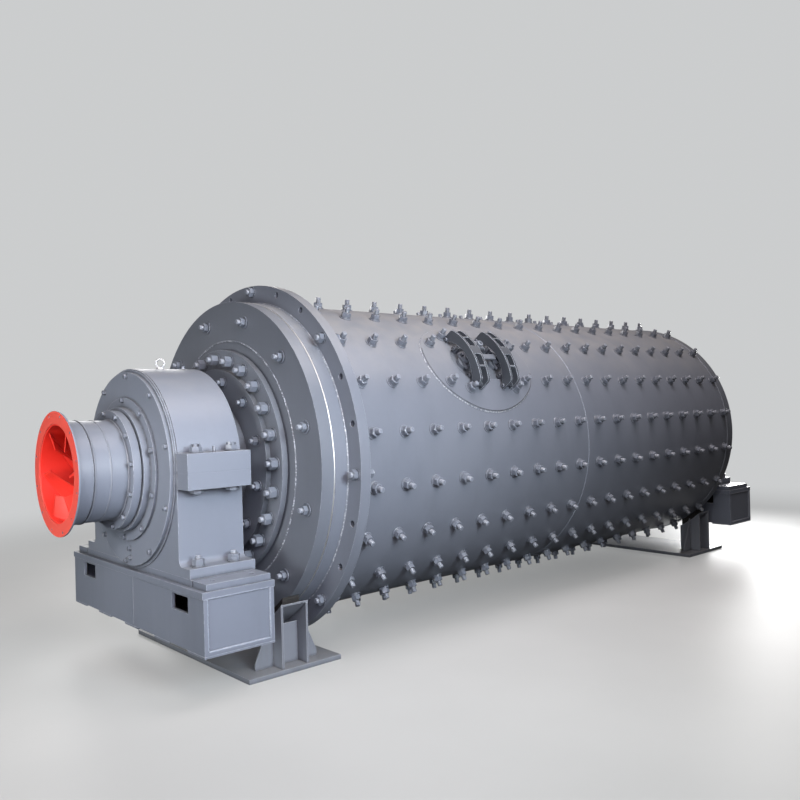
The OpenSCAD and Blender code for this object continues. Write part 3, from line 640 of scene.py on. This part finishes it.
def slab(length, width, height, bevel=0.002):
    """A plate, its upright corners and upper edges broken."""
    points, faces = [], []
    for z, inset in ((0, 0), (height - bevel, 0), (height, bevel)):
        a, b = length / 2 - inset, width / 2 - inset
        c, d = a - bevel, b - bevel
        outline = ((c, -b), (a, -d), (a, d), (c, b), (-c, b), (-a, d), (-a, -d), (-c, -b))
        points += [(x, y, z) for x, y in outline]
    for ring in (0, 1):
        faces += band(ring, 8)
    faces += [tuple(reversed(lid(0, 8))), lid(2, 8)]
    return points, faces


def new_object(name, data):
    thing = bpy.data.objects.new(name, data)
    bpy.context.scene.collection.objects.link(thing)
    return thing


def new_mesh(name, points, faces, material):
    mesh = bpy.data.meshes.new(name)
    mesh.from_pydata(points, [], faces)
    mesh.update()
    mesh.materials.append(material)
    return mesh


def make_piece(name, points, faces, material, body, smooth=40):
    """A new piece on a body. Edges sharper than smooth, in degrees, stay sharp."""
    mesh = new_mesh(name, points, faces, material)
    mesh.shade_smooth()
    mesh.set_sharp_from_angle(angle=math.radians(smooth))
    piece = new_object(name, mesh)
    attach(piece, body)


def set_out(name, shape, places, material, body, smooth=40):
    """One piece that holds the shape at each place."""
    points, faces = [], []
    shape_points = [Vector(p) for p in shape[0]]
    for place in places:
        start = len(points)
        points += [tuple(place @ p) for p in shape_points]
        faces += [tuple(i + start for i in face) for face in shape[1]]
    make_piece(name, points, faces, material, body, smooth)


def spun(spin):
    """A turn about Z, by chance where none is given: no two nuts are tightened alike."""
    return Matrix.Rotation(math.radians(dice.uniform(0, 60) if spin is None else spin), 4, "Z")


def on_drum(x, turn, radius, spin=None):
    """Place on the drum at x, turned from the top towards the manhole side, +Z outwards."""
    return (Matrix.Translation((x, 0, AXIS_Z)) @ Matrix.Rotation(math.radians(turn), 4, "X")
            @ Matrix.Translation((0, 0, radius)) @ spun(spin))


def on_end(x, turn, radius, way, spin=None):
    """Place on an end face at x, +Z along way (-1 feed, +1 discharge)."""
    a = math.radians(turn)
    spot = Vector((x, -radius * math.sin(a), AXIS_Z + radius * math.cos(a)))
    return Matrix.Translation(spot) @ Matrix.Rotation(math.radians(90 * way), 4, "Y") @ spun(spin)


def upright(x, y, z, spin=None, down=False):
    flip = Matrix.Rotation(math.pi, 4, "X") if down else Matrix.Identity(4)
    return Matrix.Translation((x, y, z)) @ flip @ spun(spin)


def from_face(side, reach):
    face, way = ENDS[side]
    return face + way * reach


# Edges sharper than this stay sharp, in degrees: hexagons, small parts with a chamfer, and threads.
HEX_EDGE = 25
PART_EDGE = 28
THREAD_EDGE = 36


# -------- liner bolts
TAKEN_BY_MANHOLE = {(1, 4), (1, 5), (2, 4), (2, 5)}
ON_PAD = {(1, 3), (2, 3)}
SQUARE_NUT = (1, 6)
# The bolts round the manhole's bridges: place past the first ring, and turn.
BRIDGE_BOLTS = [(0.915, 39.9), (0.915, 65.1), (1.374, 65.4), (1.374, 40.2)]


def liner_places():
    """Every liner bolt: 20 rows round, 18 rings along, less those that the manhole takes."""
    hexagons, squares = [], []
    for row in range(ROW_COUNT):
        turn = FIRST_ROW + row * 360 / ROW_COUNT
        for ring in range(RING_COUNT):
            x = FIRST_RING_X + ring * RING_PITCH
            if (row, ring) == SQUARE_NUT:
                squares.append(on_drum(x, turn, SHELL_R, 12))
            elif (row, ring) not in TAKEN_BY_MANHOLE:
                hexagons.append(on_drum(x, turn, PAD_R if (row, ring) in ON_PAD else SHELL_R))
    hexagons += [on_drum(FIRST_RING_X + x, turn, PAD_R) for x, turn in BRIDGE_BOLTS]
    return hexagons, squares


liner_bolts, square_bolts = liner_places()
every_bolt = liner_bolts + square_bolts
plate_washer = turned([(0.039, -0.004), (0.04, -0.002), (0.04, 0.0035), (0.0385, 0.0052), (0.03, 0.0056)], 20)
cup_washer = turned([(0.0325, 0.005), (0.033, 0.0075), (0.0315, 0.0112), (0.02, 0.0115)], 20)
liner_nut = hexagon(0.055, 0.029, z=0.0115, both=True)
liner_stud = thread(0.0175, 0.039, 0.076, 12)
square_nut = turned([(0.041, 0.0165), (0.041, 0.042), (0.036, 0.046)], 4, math.pi / 4)
set_out("liner_plate_washers", plate_washer, every_bolt, paint_liner_bolts, "drum")
set_out("liner_cup_washers", cup_washer, every_bolt, paint_liner_bolts, "drum")
set_out("liner_nuts", liner_nut, liner_bolts, paint_liner_bolts, "drum", HEX_EDGE)
set_out("liner_studs", liner_stud, every_bolt, paint_studs_lit, "drum", THREAD_EDGE)
set_out("manhole_square_nut", square_nut, square_bolts, paint_liner_bolts, "drum", HEX_EDGE)


# -------- end bolts
def stud_and_nut(name, places, body, across, nut_h, tip, radius, washer_r, washer_t=0.006):
    """Washers with nuts as one piece and the stud ends as another, at each place."""
    edge_r, top = washer_r * 0.97, washer_t + nut_h
    washer = turned([(edge_r, -0.001), (washer_r, 0.001), (washer_r, washer_t * 0.8), (edge_r, washer_t)], 24)
    nut = together(washer, hexagon(across, nut_h, washer_t, both=True))
    stud = thread(radius, top - 0.004, top + tip, 14)
    set_out(name + "_nuts", nut, places, paint_bolts, body, PART_EDGE)
    set_out(name + "_studs", stud, places, paint_studs_lit, body, THREAD_EDGE)


def hexagon_bolt(across, head, washer_r):
    washer_t = 0.0025
    washer = turned([(washer_r, -0.001), (washer_r, washer_t * 0.7), (washer_r * 0.96, washer_t)], 20)
    return together(washer, hexagon(across, head, washer_t))


def round_about(count, first, x, radius, way):
    """Places on a circle on an end face, the first one turned from the top."""
    return [on_end(x, first + k * 360 / count, radius, way) for k in range(count)]


# Circles of studs on both ends: name, count, first turn, reach past the head's face, radius and the nut.
STUD_CIRCLES = [
    ("head", 12, 15.7, 0.0, 0.908,
     dict(across=0.05, nut_h=0.028, tip=0.024, radius=0.016, washer_r=0.04, washer_t=0.008)),
    ("trunnion", 24, -1.0, TRUNNION_FLANGE_REACH, 0.652,
     dict(across=0.062, nut_h=0.047, tip=0.022, radius=0.018, washer_r=0.04)),
    ("neck", 12, 14.0, NECK_REACH, 0.519,
     dict(across=0.046, nut_h=0.03, tip=0.018, radius=0.014, washer_r=0.034)),
]
# Circles of hexagon bolts on the bearing covers, the packing rings and the rings of the tubes: name, count,
# first turn, radius, the bolt, and the body that it rides on. The covers have two more low down, in a column.
BOLT_CIRCLES = [
    ("cover", 10, 3.0, 0.545, dict(across=0.026, head=0.014, washer_r=0.0165), "frame"),
    ("seal", 10, 1.0, 0.404, dict(across=0.025, head=0.014, washer_r=0.016), "frame"),
    ("ring", 12, -8.0, 0.328, dict(across=0.024, head=0.013, washer_r=0.0155), "drum"),
]
LOW_BOLTS_TURN = 177
LOW_BOLTS_R = (0.47, 0.523)

for side, (face, way) in ENDS.items():
    for name, count, first, reach, radius, nut in STUD_CIRCLES:
        places = round_about(count, first, face + way * reach, radius, way)
        stud_and_nut(side + "_" + name, places, "drum", **nut)
    bolt_faces = {"cover": from_face(side, BEARING_REACH[side] + HOUSING_W + COVER_T)}
    bolt_faces["seal"] = bolt_faces["cover"] + way * SEAL_T
    bolt_faces["ring"] = bolt_faces["seal"] + way * (PACKING_RING_T + PACKING_GAP + TUBE_RING_T)
    for name, count, first, radius, bolt, body in BOLT_CIRCLES:
        bolt_face = bolt_faces[name]
        places = round_about(count, first, bolt_face, radius, way)
        if name == "cover":
            places += [on_end(bolt_face, LOW_BOLTS_TURN, low_r, way) for low_r in LOW_BOLTS_R]
        set_out("%s_%s_bolts" % (side, name), hexagon_bolt(**bolt), places, paint_bolts, body, PART_EDGE)

# 8 of the 24 holes of the gear flange carry a bolt.
gear_places = round_about(8, 2.6, GEAR_FRONT, 1.098, -1) + round_about(8, 2.6, GEAR_BACK, 1.098, 1)
stud_and_nut("gear_flange", gear_places, "drum",
             across=0.055, nut_h=0.03, tip=0.016, radius=0.0175, washer_r=0.036)


# -------- bearing bolts
def castle_nut(across, height):
    """Hexagon with a slotted crown: six teeth stand on its round top."""
    teeth = []
    outer, inner = across * 0.46, across * 0.3
    foot = height * 0.64
    tooth_start, tooth_end = 11, 49
    for k in range(6):
        start, end = math.radians(60 * k + tooth_start), math.radians(60 * k + tooth_end)
        steps = [start + (end - start) * t / 3 for t in range(4)]
        points = [(r * math.cos(a), r * math.sin(a), z) for z in (foot, height) for r in (outer, inner)
                  for a in steps]
        faces = []
        for i in range(3):
            faces += [(i, i + 1, 8 + i + 1, 8 + i), (4 + i + 1, 4 + i, 12 + i, 12 + i + 1),
                      (8 + i, 8 + i + 1, 12 + i + 1, 12 + i)]
        faces += [(0, 8, 12, 4), (3, 7, 15, 11)]
        teeth.append((points, faces))
    return together(hexagon(across, height * 0.66), *teeth)


def bearing_spots(side, reaches, y):
    """Places on a bearing at some reaches from its near side, on both sides of the mill."""
    return [(from_face(side, BEARING_REACH[side] + reach), s * y) for reach in reaches for s in (-1, 1)]


# Bolts of a bearing: reaches from its near side, and how far they stand from the middle of the mill.
LUG_BOLTS = ((0.098, 0.314), 0.652)
LUG_DOWELS = ((0.204,), 0.652)
FOOT_BOLTS = ((0.106, 0.322), 0.665)
castle = together(turned([(0.037, 0), (0.038, 0.002), (0.038, 0.005), (0.036, 0.006)], 24),
                  lifted(castle_nut(0.058, 0.042), 0.006))
lug_head = hexagon(0.062, 0.023)
dowel = turned([(0.0095, 0), (0.0095, 0.028), (0.008, 0.031), (0.004, 0.032)], 16)

for side in ENDS:
    lugs = bearing_spots(side, *LUG_BOLTS)
    feet = bearing_spots(side, *FOOT_BOLTS)
    dowels = bearing_spots(side, *LUG_DOWELS)
    for name, shape, places in (
            ("_castle_nuts", castle, [upright(x, y, LUG_TOP) for x, y in lugs]),
            ("_lug_heads", lug_head, [upright(x, y, LUG_UNDERSIDE, down=True) for x, y in lugs]),
            ("_dowel_pins", dowel, [upright(x, y, LUG_TOP, 0) for x, y in dowels])):
        set_out(side + name, shape, places, paint_bolts, "frame", PART_EDGE)
    stud_and_nut(side + "_foot", [upright(x, y, FOOT_TOP) for x, y in feet], "frame",
                 across=0.06, nut_h=0.036, tip=0.02, radius=0.018, washer_r=0.037)


# -------- welds
# Cross-section of a weld bead: points, width as a share of its size, and the arc in half turns.
BEAD_POINTS = 7
BEAD_WIDTH = 1.15
BEAD_ARC = 1.16
BEAD_ARC_START = 0.08
# Each second ripple is lower, and chance changes the height of all and their sway to the side.
LOW_RIPPLE = 0.8
RIPPLE_HEIGHTS = (0.75, 1.15)
RIPPLE_SWAY = 0.12


def bead(name, path, radius, material, body, out, closed=True):
    """A weld bead along a path of points: scalloped ripples, slightly uneven, open towards the plate.

    out is the outward way of the bead at each point."""
    points, faces = [], []
    sides = BEAD_POINTS
    count = len(path)
    for i, spot in enumerate(path):
        spot = Vector(spot)
        ahead = Vector(path[(i + 1) % count]) if closed or i + 1 < count else spot
        behind = Vector(path[i - 1]) if closed or i > 0 else spot
        along = (ahead - behind).normalized()
        across = along.cross(Vector(out[i])).normalized()
        up = across.cross(along).normalized()
        swell = 1.0 if i % 2 else LOW_RIPPLE
        swell *= dice.uniform(*RIPPLE_HEIGHTS)
        sway = dice.uniform(-RIPPLE_SWAY, RIPPLE_SWAY) * radius
        for k in range(sides):
            a = math.pi * (k / (sides - 1)) * BEAD_ARC - BEAD_ARC_START * math.pi
            sideways, upwards = math.cos(a) * radius * BEAD_WIDTH + sway, math.sin(a) * radius * swell
            points.append(tuple(spot + across * sideways + up * upwards))
    for i in range(count if closed else count - 1):
        n = (i + 1) % count
        for k in range(sides - 1):
            faces.append((i * sides + k, n * sides + k, n * sides + k + 1, i * sides + k + 1))
    if not closed:
        faces.append(lid(0, sides))
        faces.append(tuple(reversed(lid(count - 1, sides))))
    make_piece(name, points, faces, material, body, 180)


def circle_path(x, radius, pitch):
    """A circle round the axis at x, and the way out from the axis at each point."""
    count = max(24, int(2 * math.pi * radius / pitch))
    count += count % 2
    turns = [2 * math.pi * k / count for k in range(count)]
    return ([(x, -radius * math.sin(a), AXIS_Z + radius * math.cos(a)) for a in turns],
            [(0, -math.sin(a), math.cos(a)) for a in turns])


def straight_path(start, end, pitch):
    start, end = Vector(start), Vector(end)
    count = max(4, int((end - start).length / pitch))
    return [tuple(start.lerp(end, k / count)) for k in range(count + 1)]


# Weld beads round the axis: name, x, radius, size of the bead, its outward way (along X, out from the axis),
# finish and pitch of the ripples.
RING_BEADS = [
    ("feed_head_weld", ENDS["feed"][0], 0.772, 0.0055, (-1, 0), head_weld, 0.01),
    ("discharge_head_weld", ENDS["discharge"][0], 0.772, 0.0055, (1, 0), head_weld, 0.01),
    ("gear_flange_front_weld", GEAR_FRONT, RIM_R, 0.0065, (-1, 1), flange_weld, 0.01),
    ("gear_flange_back_weld", GEAR_BACK, SHELL_R, 0.008, (1, 1), paint_seams, 0.01),
    ("shell_seam_weld", SEAM_X, SHELL_R - 0.002, 0.0055, (0, 1), base_weld, 0.009),
    ("discharge_rim_weld", OUT_RIM, SHELL_R, 0.006, (-1, 1), paint_seams, 0.01),
    ("inlet_front_weld", FIRST_RING_X - 1.36, 0.2915, 0.0055, (1, 1), paint_seams, 0.008),
    ("inlet_back_weld", FIRST_RING_X - 1.272, 0.2885, 0.005, (0, 1), paint_seams, 0.008),
    ("inlet_ring_weld", FIRST_RING_X - 1.1745, 0.291, 0.005, (-1, 1), paint_seams, 0.009),
    ("inlet_flange_weld", INLET_END + 0.0105, 0.2945, 0.006, (1, 1), paint_seams, 0.008),
]
for name, x, radius, size, lean, material, pitch in RING_BEADS:
    path, radial = circle_path(x, radius, pitch)
    out = [Vector((lean[0], 0, 0)) + Vector(r) * lean[1] for r in radial]
    bead(name, path, size, material, "drum", out)


def manhole_path(a, b, end_r, radius):
    """The oval of the manhole pad, laid on the drum: half length a, half width b, ends of radius end_r.

    Each ray from the middle is halved until it meets the oval's edge."""
    pitch = 0.01
    end_x = a - end_r
    side_r = (end_x ** 2 + b ** 2 - end_r ** 2) / (2 * (b - end_r))
    count = int(2 * math.pi * (a + b) / 2 / pitch) // 2 * 2
    path, out = [], []
    for k in range(count):
        t = 2 * math.pi * k / count
        dx, dy = math.cos(t), math.sin(t)
        low, high = 0.0, a + b
        for _ in range(40):
            r = (low + high) / 2
            x, y = abs(r * dx), abs(r * dy)
            in_side = math.hypot(x, y + side_r - b) < side_r and x < end_x * side_r / (side_r - end_r)
            low, high = (r, high) if math.hypot(x - end_x, y) < end_r or in_side else (low, r)
        u, v = low * dx, low * dy
        place = on_drum(MANHOLE_X + u, MANHOLE_TURN, 0, 0)
        spot = Vector((0, v, math.sqrt(radius ** 2 - v ** 2)))
        path.append(place @ spot)
        up = (place.to_3x3() @ spot).normalized()
        side_way = (place.to_3x3() @ Vector((dx, dy, 0))).normalized()
        out.append(up + side_way * 0.8)
    return path, out


# The oval where the pad's weld runs, and the pad's upper edge: half length, half width, radius of the ends.
PAD_WELD_OVAL = (0.503, 0.371, 0.301)
PAD_EDGE_OVAL = (0.4985, 0.3665, 0.2965)
# The stretch of the pad's edge oval that gets the strip of painted shade.
SHADE_LINE_START, SHADE_LINE_END = 0.46, 0.975

path, out = manhole_path(*PAD_WELD_OVAL, SHELL_R)
bead("manhole_pad_weld", path, 0.0055, pad_weld, "drum", out)
path, out = manhole_path(*PAD_EDGE_OVAL, PAD_R - 0.001)
lower = slice(int(len(path) * SHADE_LINE_START), int(len(path) * SHADE_LINE_END))
# A dark strip along part of the pad's upper edge: painted shade under the edge.
bead("manhole_pad_shade_line", path[lower], 0.0026, shade_strip, "drum", out[lower], closed=False)

END_PLATE_Y = 0.895
END_PLATE_EDGE = 0.023
BOX_FLOOR_T = 0.021
BASE_SEAM_Y = -0.035
BASE_WELD_PITCH = 0.009


def end_plate_corners(box, y):
    """Corners of the recessed end plate of a base box, at y."""
    (x0, _, z0), (x1, _, z1) = box
    left, right, bottom = x0 + END_PLATE_EDGE, x1 - END_PLATE_EDGE, z0 + BOX_FLOOR_T
    return [Vector((x, y, z)) for x, z in ((left, bottom), (right, bottom), (right, z1), (left, z1))]


for side, (_, way) in ENDS.items():
    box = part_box(side + "_base_box")
    for s, end_name in ((-1, "near"), (1, "far")):
        corners = end_plate_corners(box, s * END_PLATE_Y)
        for k in range(4):
            start, end, after = corners[k], corners[(k + 1) % 4], corners[(k + 2) % 4]
            line = straight_path(start, end, BASE_WELD_PITCH)
            outwards = Vector((0, s, 0)) + (after - end).normalized()
            bead("%s_base_%s_weld_%d" % (side, end_name, k), line, 0.006, base_weld, "frame",
                 [outwards] * len(line), closed=False)
    outer_x = box[0][0] if way < 0 else box[1][0]
    bottom, top = (outer_x, BASE_SEAM_Y, box[0][2] + 0.004), (outer_x, BASE_SEAM_Y, box[1][2] - 0.002)
    seam = straight_path(bottom, top, BASE_WELD_PITCH)
    bead(side + "_base_seam_weld", seam, 0.003, paint_seams, "frame", [(way, 0, 0)] * len(seam),
         closed=False)


# -------- manhole and small fittings
# The manhole's pieces lie across the drum's axis, in a frame with +Z out through the middle of the door.
manhole = [on_drum(MANHOLE_X, MANHOLE_TURN, 0, 0)]
BRIDGE_X = 0.153
DOOR_TOP = SHELL_R - 0.013
BOSS_TOP = SHELL_R + 0.012
CLAMP_TOP = BOSS_TOP + 0.014
HINGE_PIN_Z = DOOR_TOP + 0.026
HINGE_Y = 0.118
BRIDGE_END_Y = 0.203
TIE_Z = 1.078
LUG_Z = 1.138
LUG_BOLT_X, LUG_BOLT_Y = -0.076, 0.053
BLOCK_Z = 1.118
BLOCK_PIN_Z = 1.162

clamps, hinges, pins = [], [], []
for x in (-BRIDGE_X, BRIDGE_X):
    clamps.append(moved(slab(0.05, 0.13, 0.014), x, 0, BOSS_TOP))
    clamps.append(moved(hexagon(0.056, 0.03), x, 0, CLAMP_TOP, ("Z", 12)))
    for y in (-0.048, 0.048):
        clamps.append(moved(hexagon(0.027, 0.018), x, y, CLAMP_TOP, ("Z", 25)))
    for y in (-HINGE_Y, HINGE_Y):
        for lug_x in (-0.016, 0.016):
            hinges.append(moved(slab(0.009, 0.042, 0.05), x + lug_x, y, DOOR_TOP - 0.01))
        hinges.append(moved(rod(0.0085, 0.06), x - 0.03, y, HINGE_PIN_Z, ("Y", 90)))
        hinges.append(moved(rod(0.013, 0.01), x - 0.04, y, HINGE_PIN_Z, ("Y", 90)))
    for y in (-BRIDGE_END_Y, BRIDGE_END_Y):
        for pin_x in (0.044, -0.058):
            pins.append(moved(rod(0.012, 0.014, 0.003), x + pin_x, y, PAD_R + 0.001, ("Y", 90)))

tie = moved(slab(0.216, 0.042, 0.014), 0, 0.004, TIE_Z)
lug = moved(slab(0.06, 0.062, 0.02), -0.078, 0.052, LUG_Z)
lug_nut = moved(hexagon(0.036, 0.026), LUG_BOLT_X, LUG_BOLT_Y, LUG_Z - 0.026)
block = together(moved(slab(0.066, 0.062, 0.046, 0.004), 0.231, 0.052, BLOCK_Z),
                 moved(rod(0.0085, 0.026), 0.214, 0.07, BLOCK_PIN_Z),
                 moved(rod(0.0085, 0.026), 0.248, 0.034, BLOCK_PIN_Z))
socket_cap = turned(
    [(0.019, 0), (0.021, 0.003), (0.021, 0.016), (0.019, 0.018), (0.0125, 0.018), (0.012, 0.006)], 24)
lug_bolt = moved(socket_cap, LUG_BOLT_X, LUG_BOLT_Y, 1.157)
set_out("manhole_clamps", together(*clamps), manhole, paint_bolts, "drum", PART_EDGE)
set_out("manhole_hinges", together(*hinges), manhole, paint_heads_shaded, "drum", PART_EDGE)
set_out("manhole_tie", tie, manhole, paint_heads_shaded, "drum", PART_EDGE)
set_out("manhole_lug", together(lug, lug_nut), manhole, paint_heads_shaded, "drum", PART_EDGE)
set_out("manhole_block", block, manhole, paint_heads_shaded, "drum", PART_EDGE)
set_out("manhole_lug_bolt", lug_bolt, manhole, paint_studs_lit, "drum")
set_out("bridge_pin_ends", together(*pins), manhole, paint_studs_lit, "drum")

vent_plug = together(rod(0.014, 0.008), lifted(hexagon(0.016, 0.012), 0.008))
grease_plug = together(rod(0.006, 0.016), moved(rod(0.009, 0.006), 0, 0, 0.014))
for side, (_, way) in ENDS.items():
    vent_x = from_face(side, BEARING_REACH[side] + 0.048)
    grease_x = from_face(side, BEARING_REACH[side] + HOUSING_W) + way * (COVER_T + SEAL_T)
    vent, grease = upright(vent_x, 0.0, CAP_TOP, 0), on_end(grease_x, 31, 0.335, way, 0)
    set_out(side + "_cap_plug", vent_plug, [vent], paint_studs_lit, "frame", PART_EDGE)
    set_out(side + "_cover_plug", grease_plug, [grease], paint_bolts, "frame")


# -------- stage, light and camera
BACKDROP = (0.6, 0.61, 0.615)


def stage_floor():
    """A pale floor that fades into the backdrop. It is pale to the camera alone, and throws little light."""
    material, b, put = new_material("Pale floor")
    place = b.where()
    cloud = b.span(b.noise(place, 0.8, detail=4, rough=0.5), 0.3, 0.7)
    seen = b.add("LightPath").outputs["Is Camera Ray"]
    pale = b.mix(cloud, (0.5, 0.507, 0.502), (0.54, 0.546, 0.54))
    b.feed(put["Base Color"], b.mix(seen, (0.08, 0.08, 0.08), pale))
    put["Roughness"].default_value = 0.5
    fade = b.span(b.vector("LENGTH", place)["Value"], 2.0, 9.0, 0.35, 1.0)
    glow = b.add("Emission")
    b.feed(glow.inputs["Color"], BACKDROP)
    both = b.add("MixShader")
    b.feed(both.inputs[0], b.times(fade, seen))
    surface = put["Base Color"].node
    end = surface.outputs["BSDF"].links[0].to_socket
    b.feed(both.inputs[1], surface.outputs["BSDF"])
    b.feed(both.inputs[2], glow.outputs[0])
    b.feed(end, both.outputs[0])
    half = 120
    corners = [(-half, -half, 0), (half, -half, 0), (half, half, 0), (-half, half, 0)]
    floor = new_object("floor", new_mesh("floor", corners, [(0, 1, 2, 3)], material))


HALL_LOW = (0.008, 0.008, 0.009)
HALL_HIGH = (0.14, 0.125, 0.105)


def studio_world():
    """An even backdrop for the camera, and a dim hall with a lighter ceiling for everything else."""
    world = bpy.data.worlds.new("Studio")
    world.use_nodes = True
    b = Bench(world.node_tree)
    ceiling = b.span(b.split(b.add("TexCoord").outputs["Generated"])["Z"], -0.1, 0.7)
    seen = b.add("LightPath").outputs["Is Camera Ray"]
    background = world.node_tree.nodes["Background"]
    b.feed(background.inputs["Color"], b.mix(seen, b.mix(ceiling, HALL_LOW, HALL_HIGH), BACKDROP))
    bpy.context.scene.world = world


def soft_light(name, spot, aim, size, power, colour, spread):
    light = bpy.data.lights.new(name, "AREA")
    light.shape = "RECTANGLE"
    light.size, light.size_y = size
    light.energy = power
    light.color = colour
    light.spread = math.radians(spread)
    lamp = new_object(name, light)
    lamp.location = spot
    lamp.rotation_euler = (Vector(aim) - Vector(spot)).to_track_quat("-Z", "Y").to_euler()


# Soft lights: name, place, aim, size, power in watts, colour and spread in degrees.
LIGHTS = [
    ("key_light", (-3.4, -5.0, 5.5), (-1.8, 0, 1.2), (3, 3), 61, (1.1, 0.99, 0.94), 100),
    ("side_light", (-2.3, -5.5, 2.6), (-2.1, 0, 1.1), (1.6, 1.6), 63, (0.92, 1.01, 1.06), 80),
    ("near_light", (-4.6, -5.0, 2.4), (-2.6, 0, 1.0), (2, 2), 25, (1.0, 0.94, 1.1), 80),
    ("roof_light", (0.5, -2.0, 6.5), (0.3, 0, 1.5), (4, 3), 86, (1.05, 0.97, 0.98), 90),
    ("spout_light", (-6.4, -1.3, 1.9), (-3.3, 0, 1.15), (1, 1), 4, (1.1, 1.0, 0.9), 40),
    ("corner_light", (-5.6, -3.2, 3.0), (-3.3, 0, 1.1), (0.8, 0.8), 6, (1, 1, 1), 50),
    ("end_light", (-7.0, -1.5, 1.0), (-3.3, 0, 0.8), (2, 1.2), 29, (0.98, 1.02, 1.0), 80),
    ("back_light", (1.0, 6.5, 3.6), (0.2, 0, 1.2), (4, 3), 95, (1, 1, 1), 100),
    ("far_end_light", (6.8, 0.8, 1.5), (2.6, 0, 1.1), (2, 1.4), 70, (1, 1, 1), 80),
]
stage_floor()
studio_world()
for light in LIGHTS:
    soft_light(*light)

# The camera as solved from the grid of liner bolts: turns in degrees, place in metres, lens in millimetres.
CAMERA_TURNS = {"yaw": 41.6390, "pitch": 0.13059, "roll": -1.53800}
CAMERA_SPOT = (FIRST_RING_X - 3.02999, -4.66058, 1.54752)
CAMERA_LENS = 36.4003


def photo_camera():
    """The photo's camera, in front of the feed end."""
    yaw, pitch, roll = (math.radians(a) for a in CAMERA_TURNS.values())
    look = Vector((math.sin(yaw) * math.cos(pitch), math.cos(yaw) * math.cos(pitch), math.sin(pitch)))
    right = look.cross(Vector((0, 0, 1))).normalized()
    up = right.cross(look)
    right, up = math.cos(roll) * right + math.sin(roll) * up, math.cos(roll) * up - math.sin(roll) * right
    data = bpy.data.cameras.new("photo_camera")
    data.sensor_width = 36
    data.lens = CAMERA_LENS
    data.clip_end = 200
    camera = new_object("photo_camera", data)
    camera.matrix_world = Matrix.Translation(CAMERA_SPOT) @ Matrix((right, up, -look)).transposed().to_4x4()
    bpy.context.scene.camera = camera


photo_camera()
bpy.context.scene.view_settings.view_transform = "Standard"
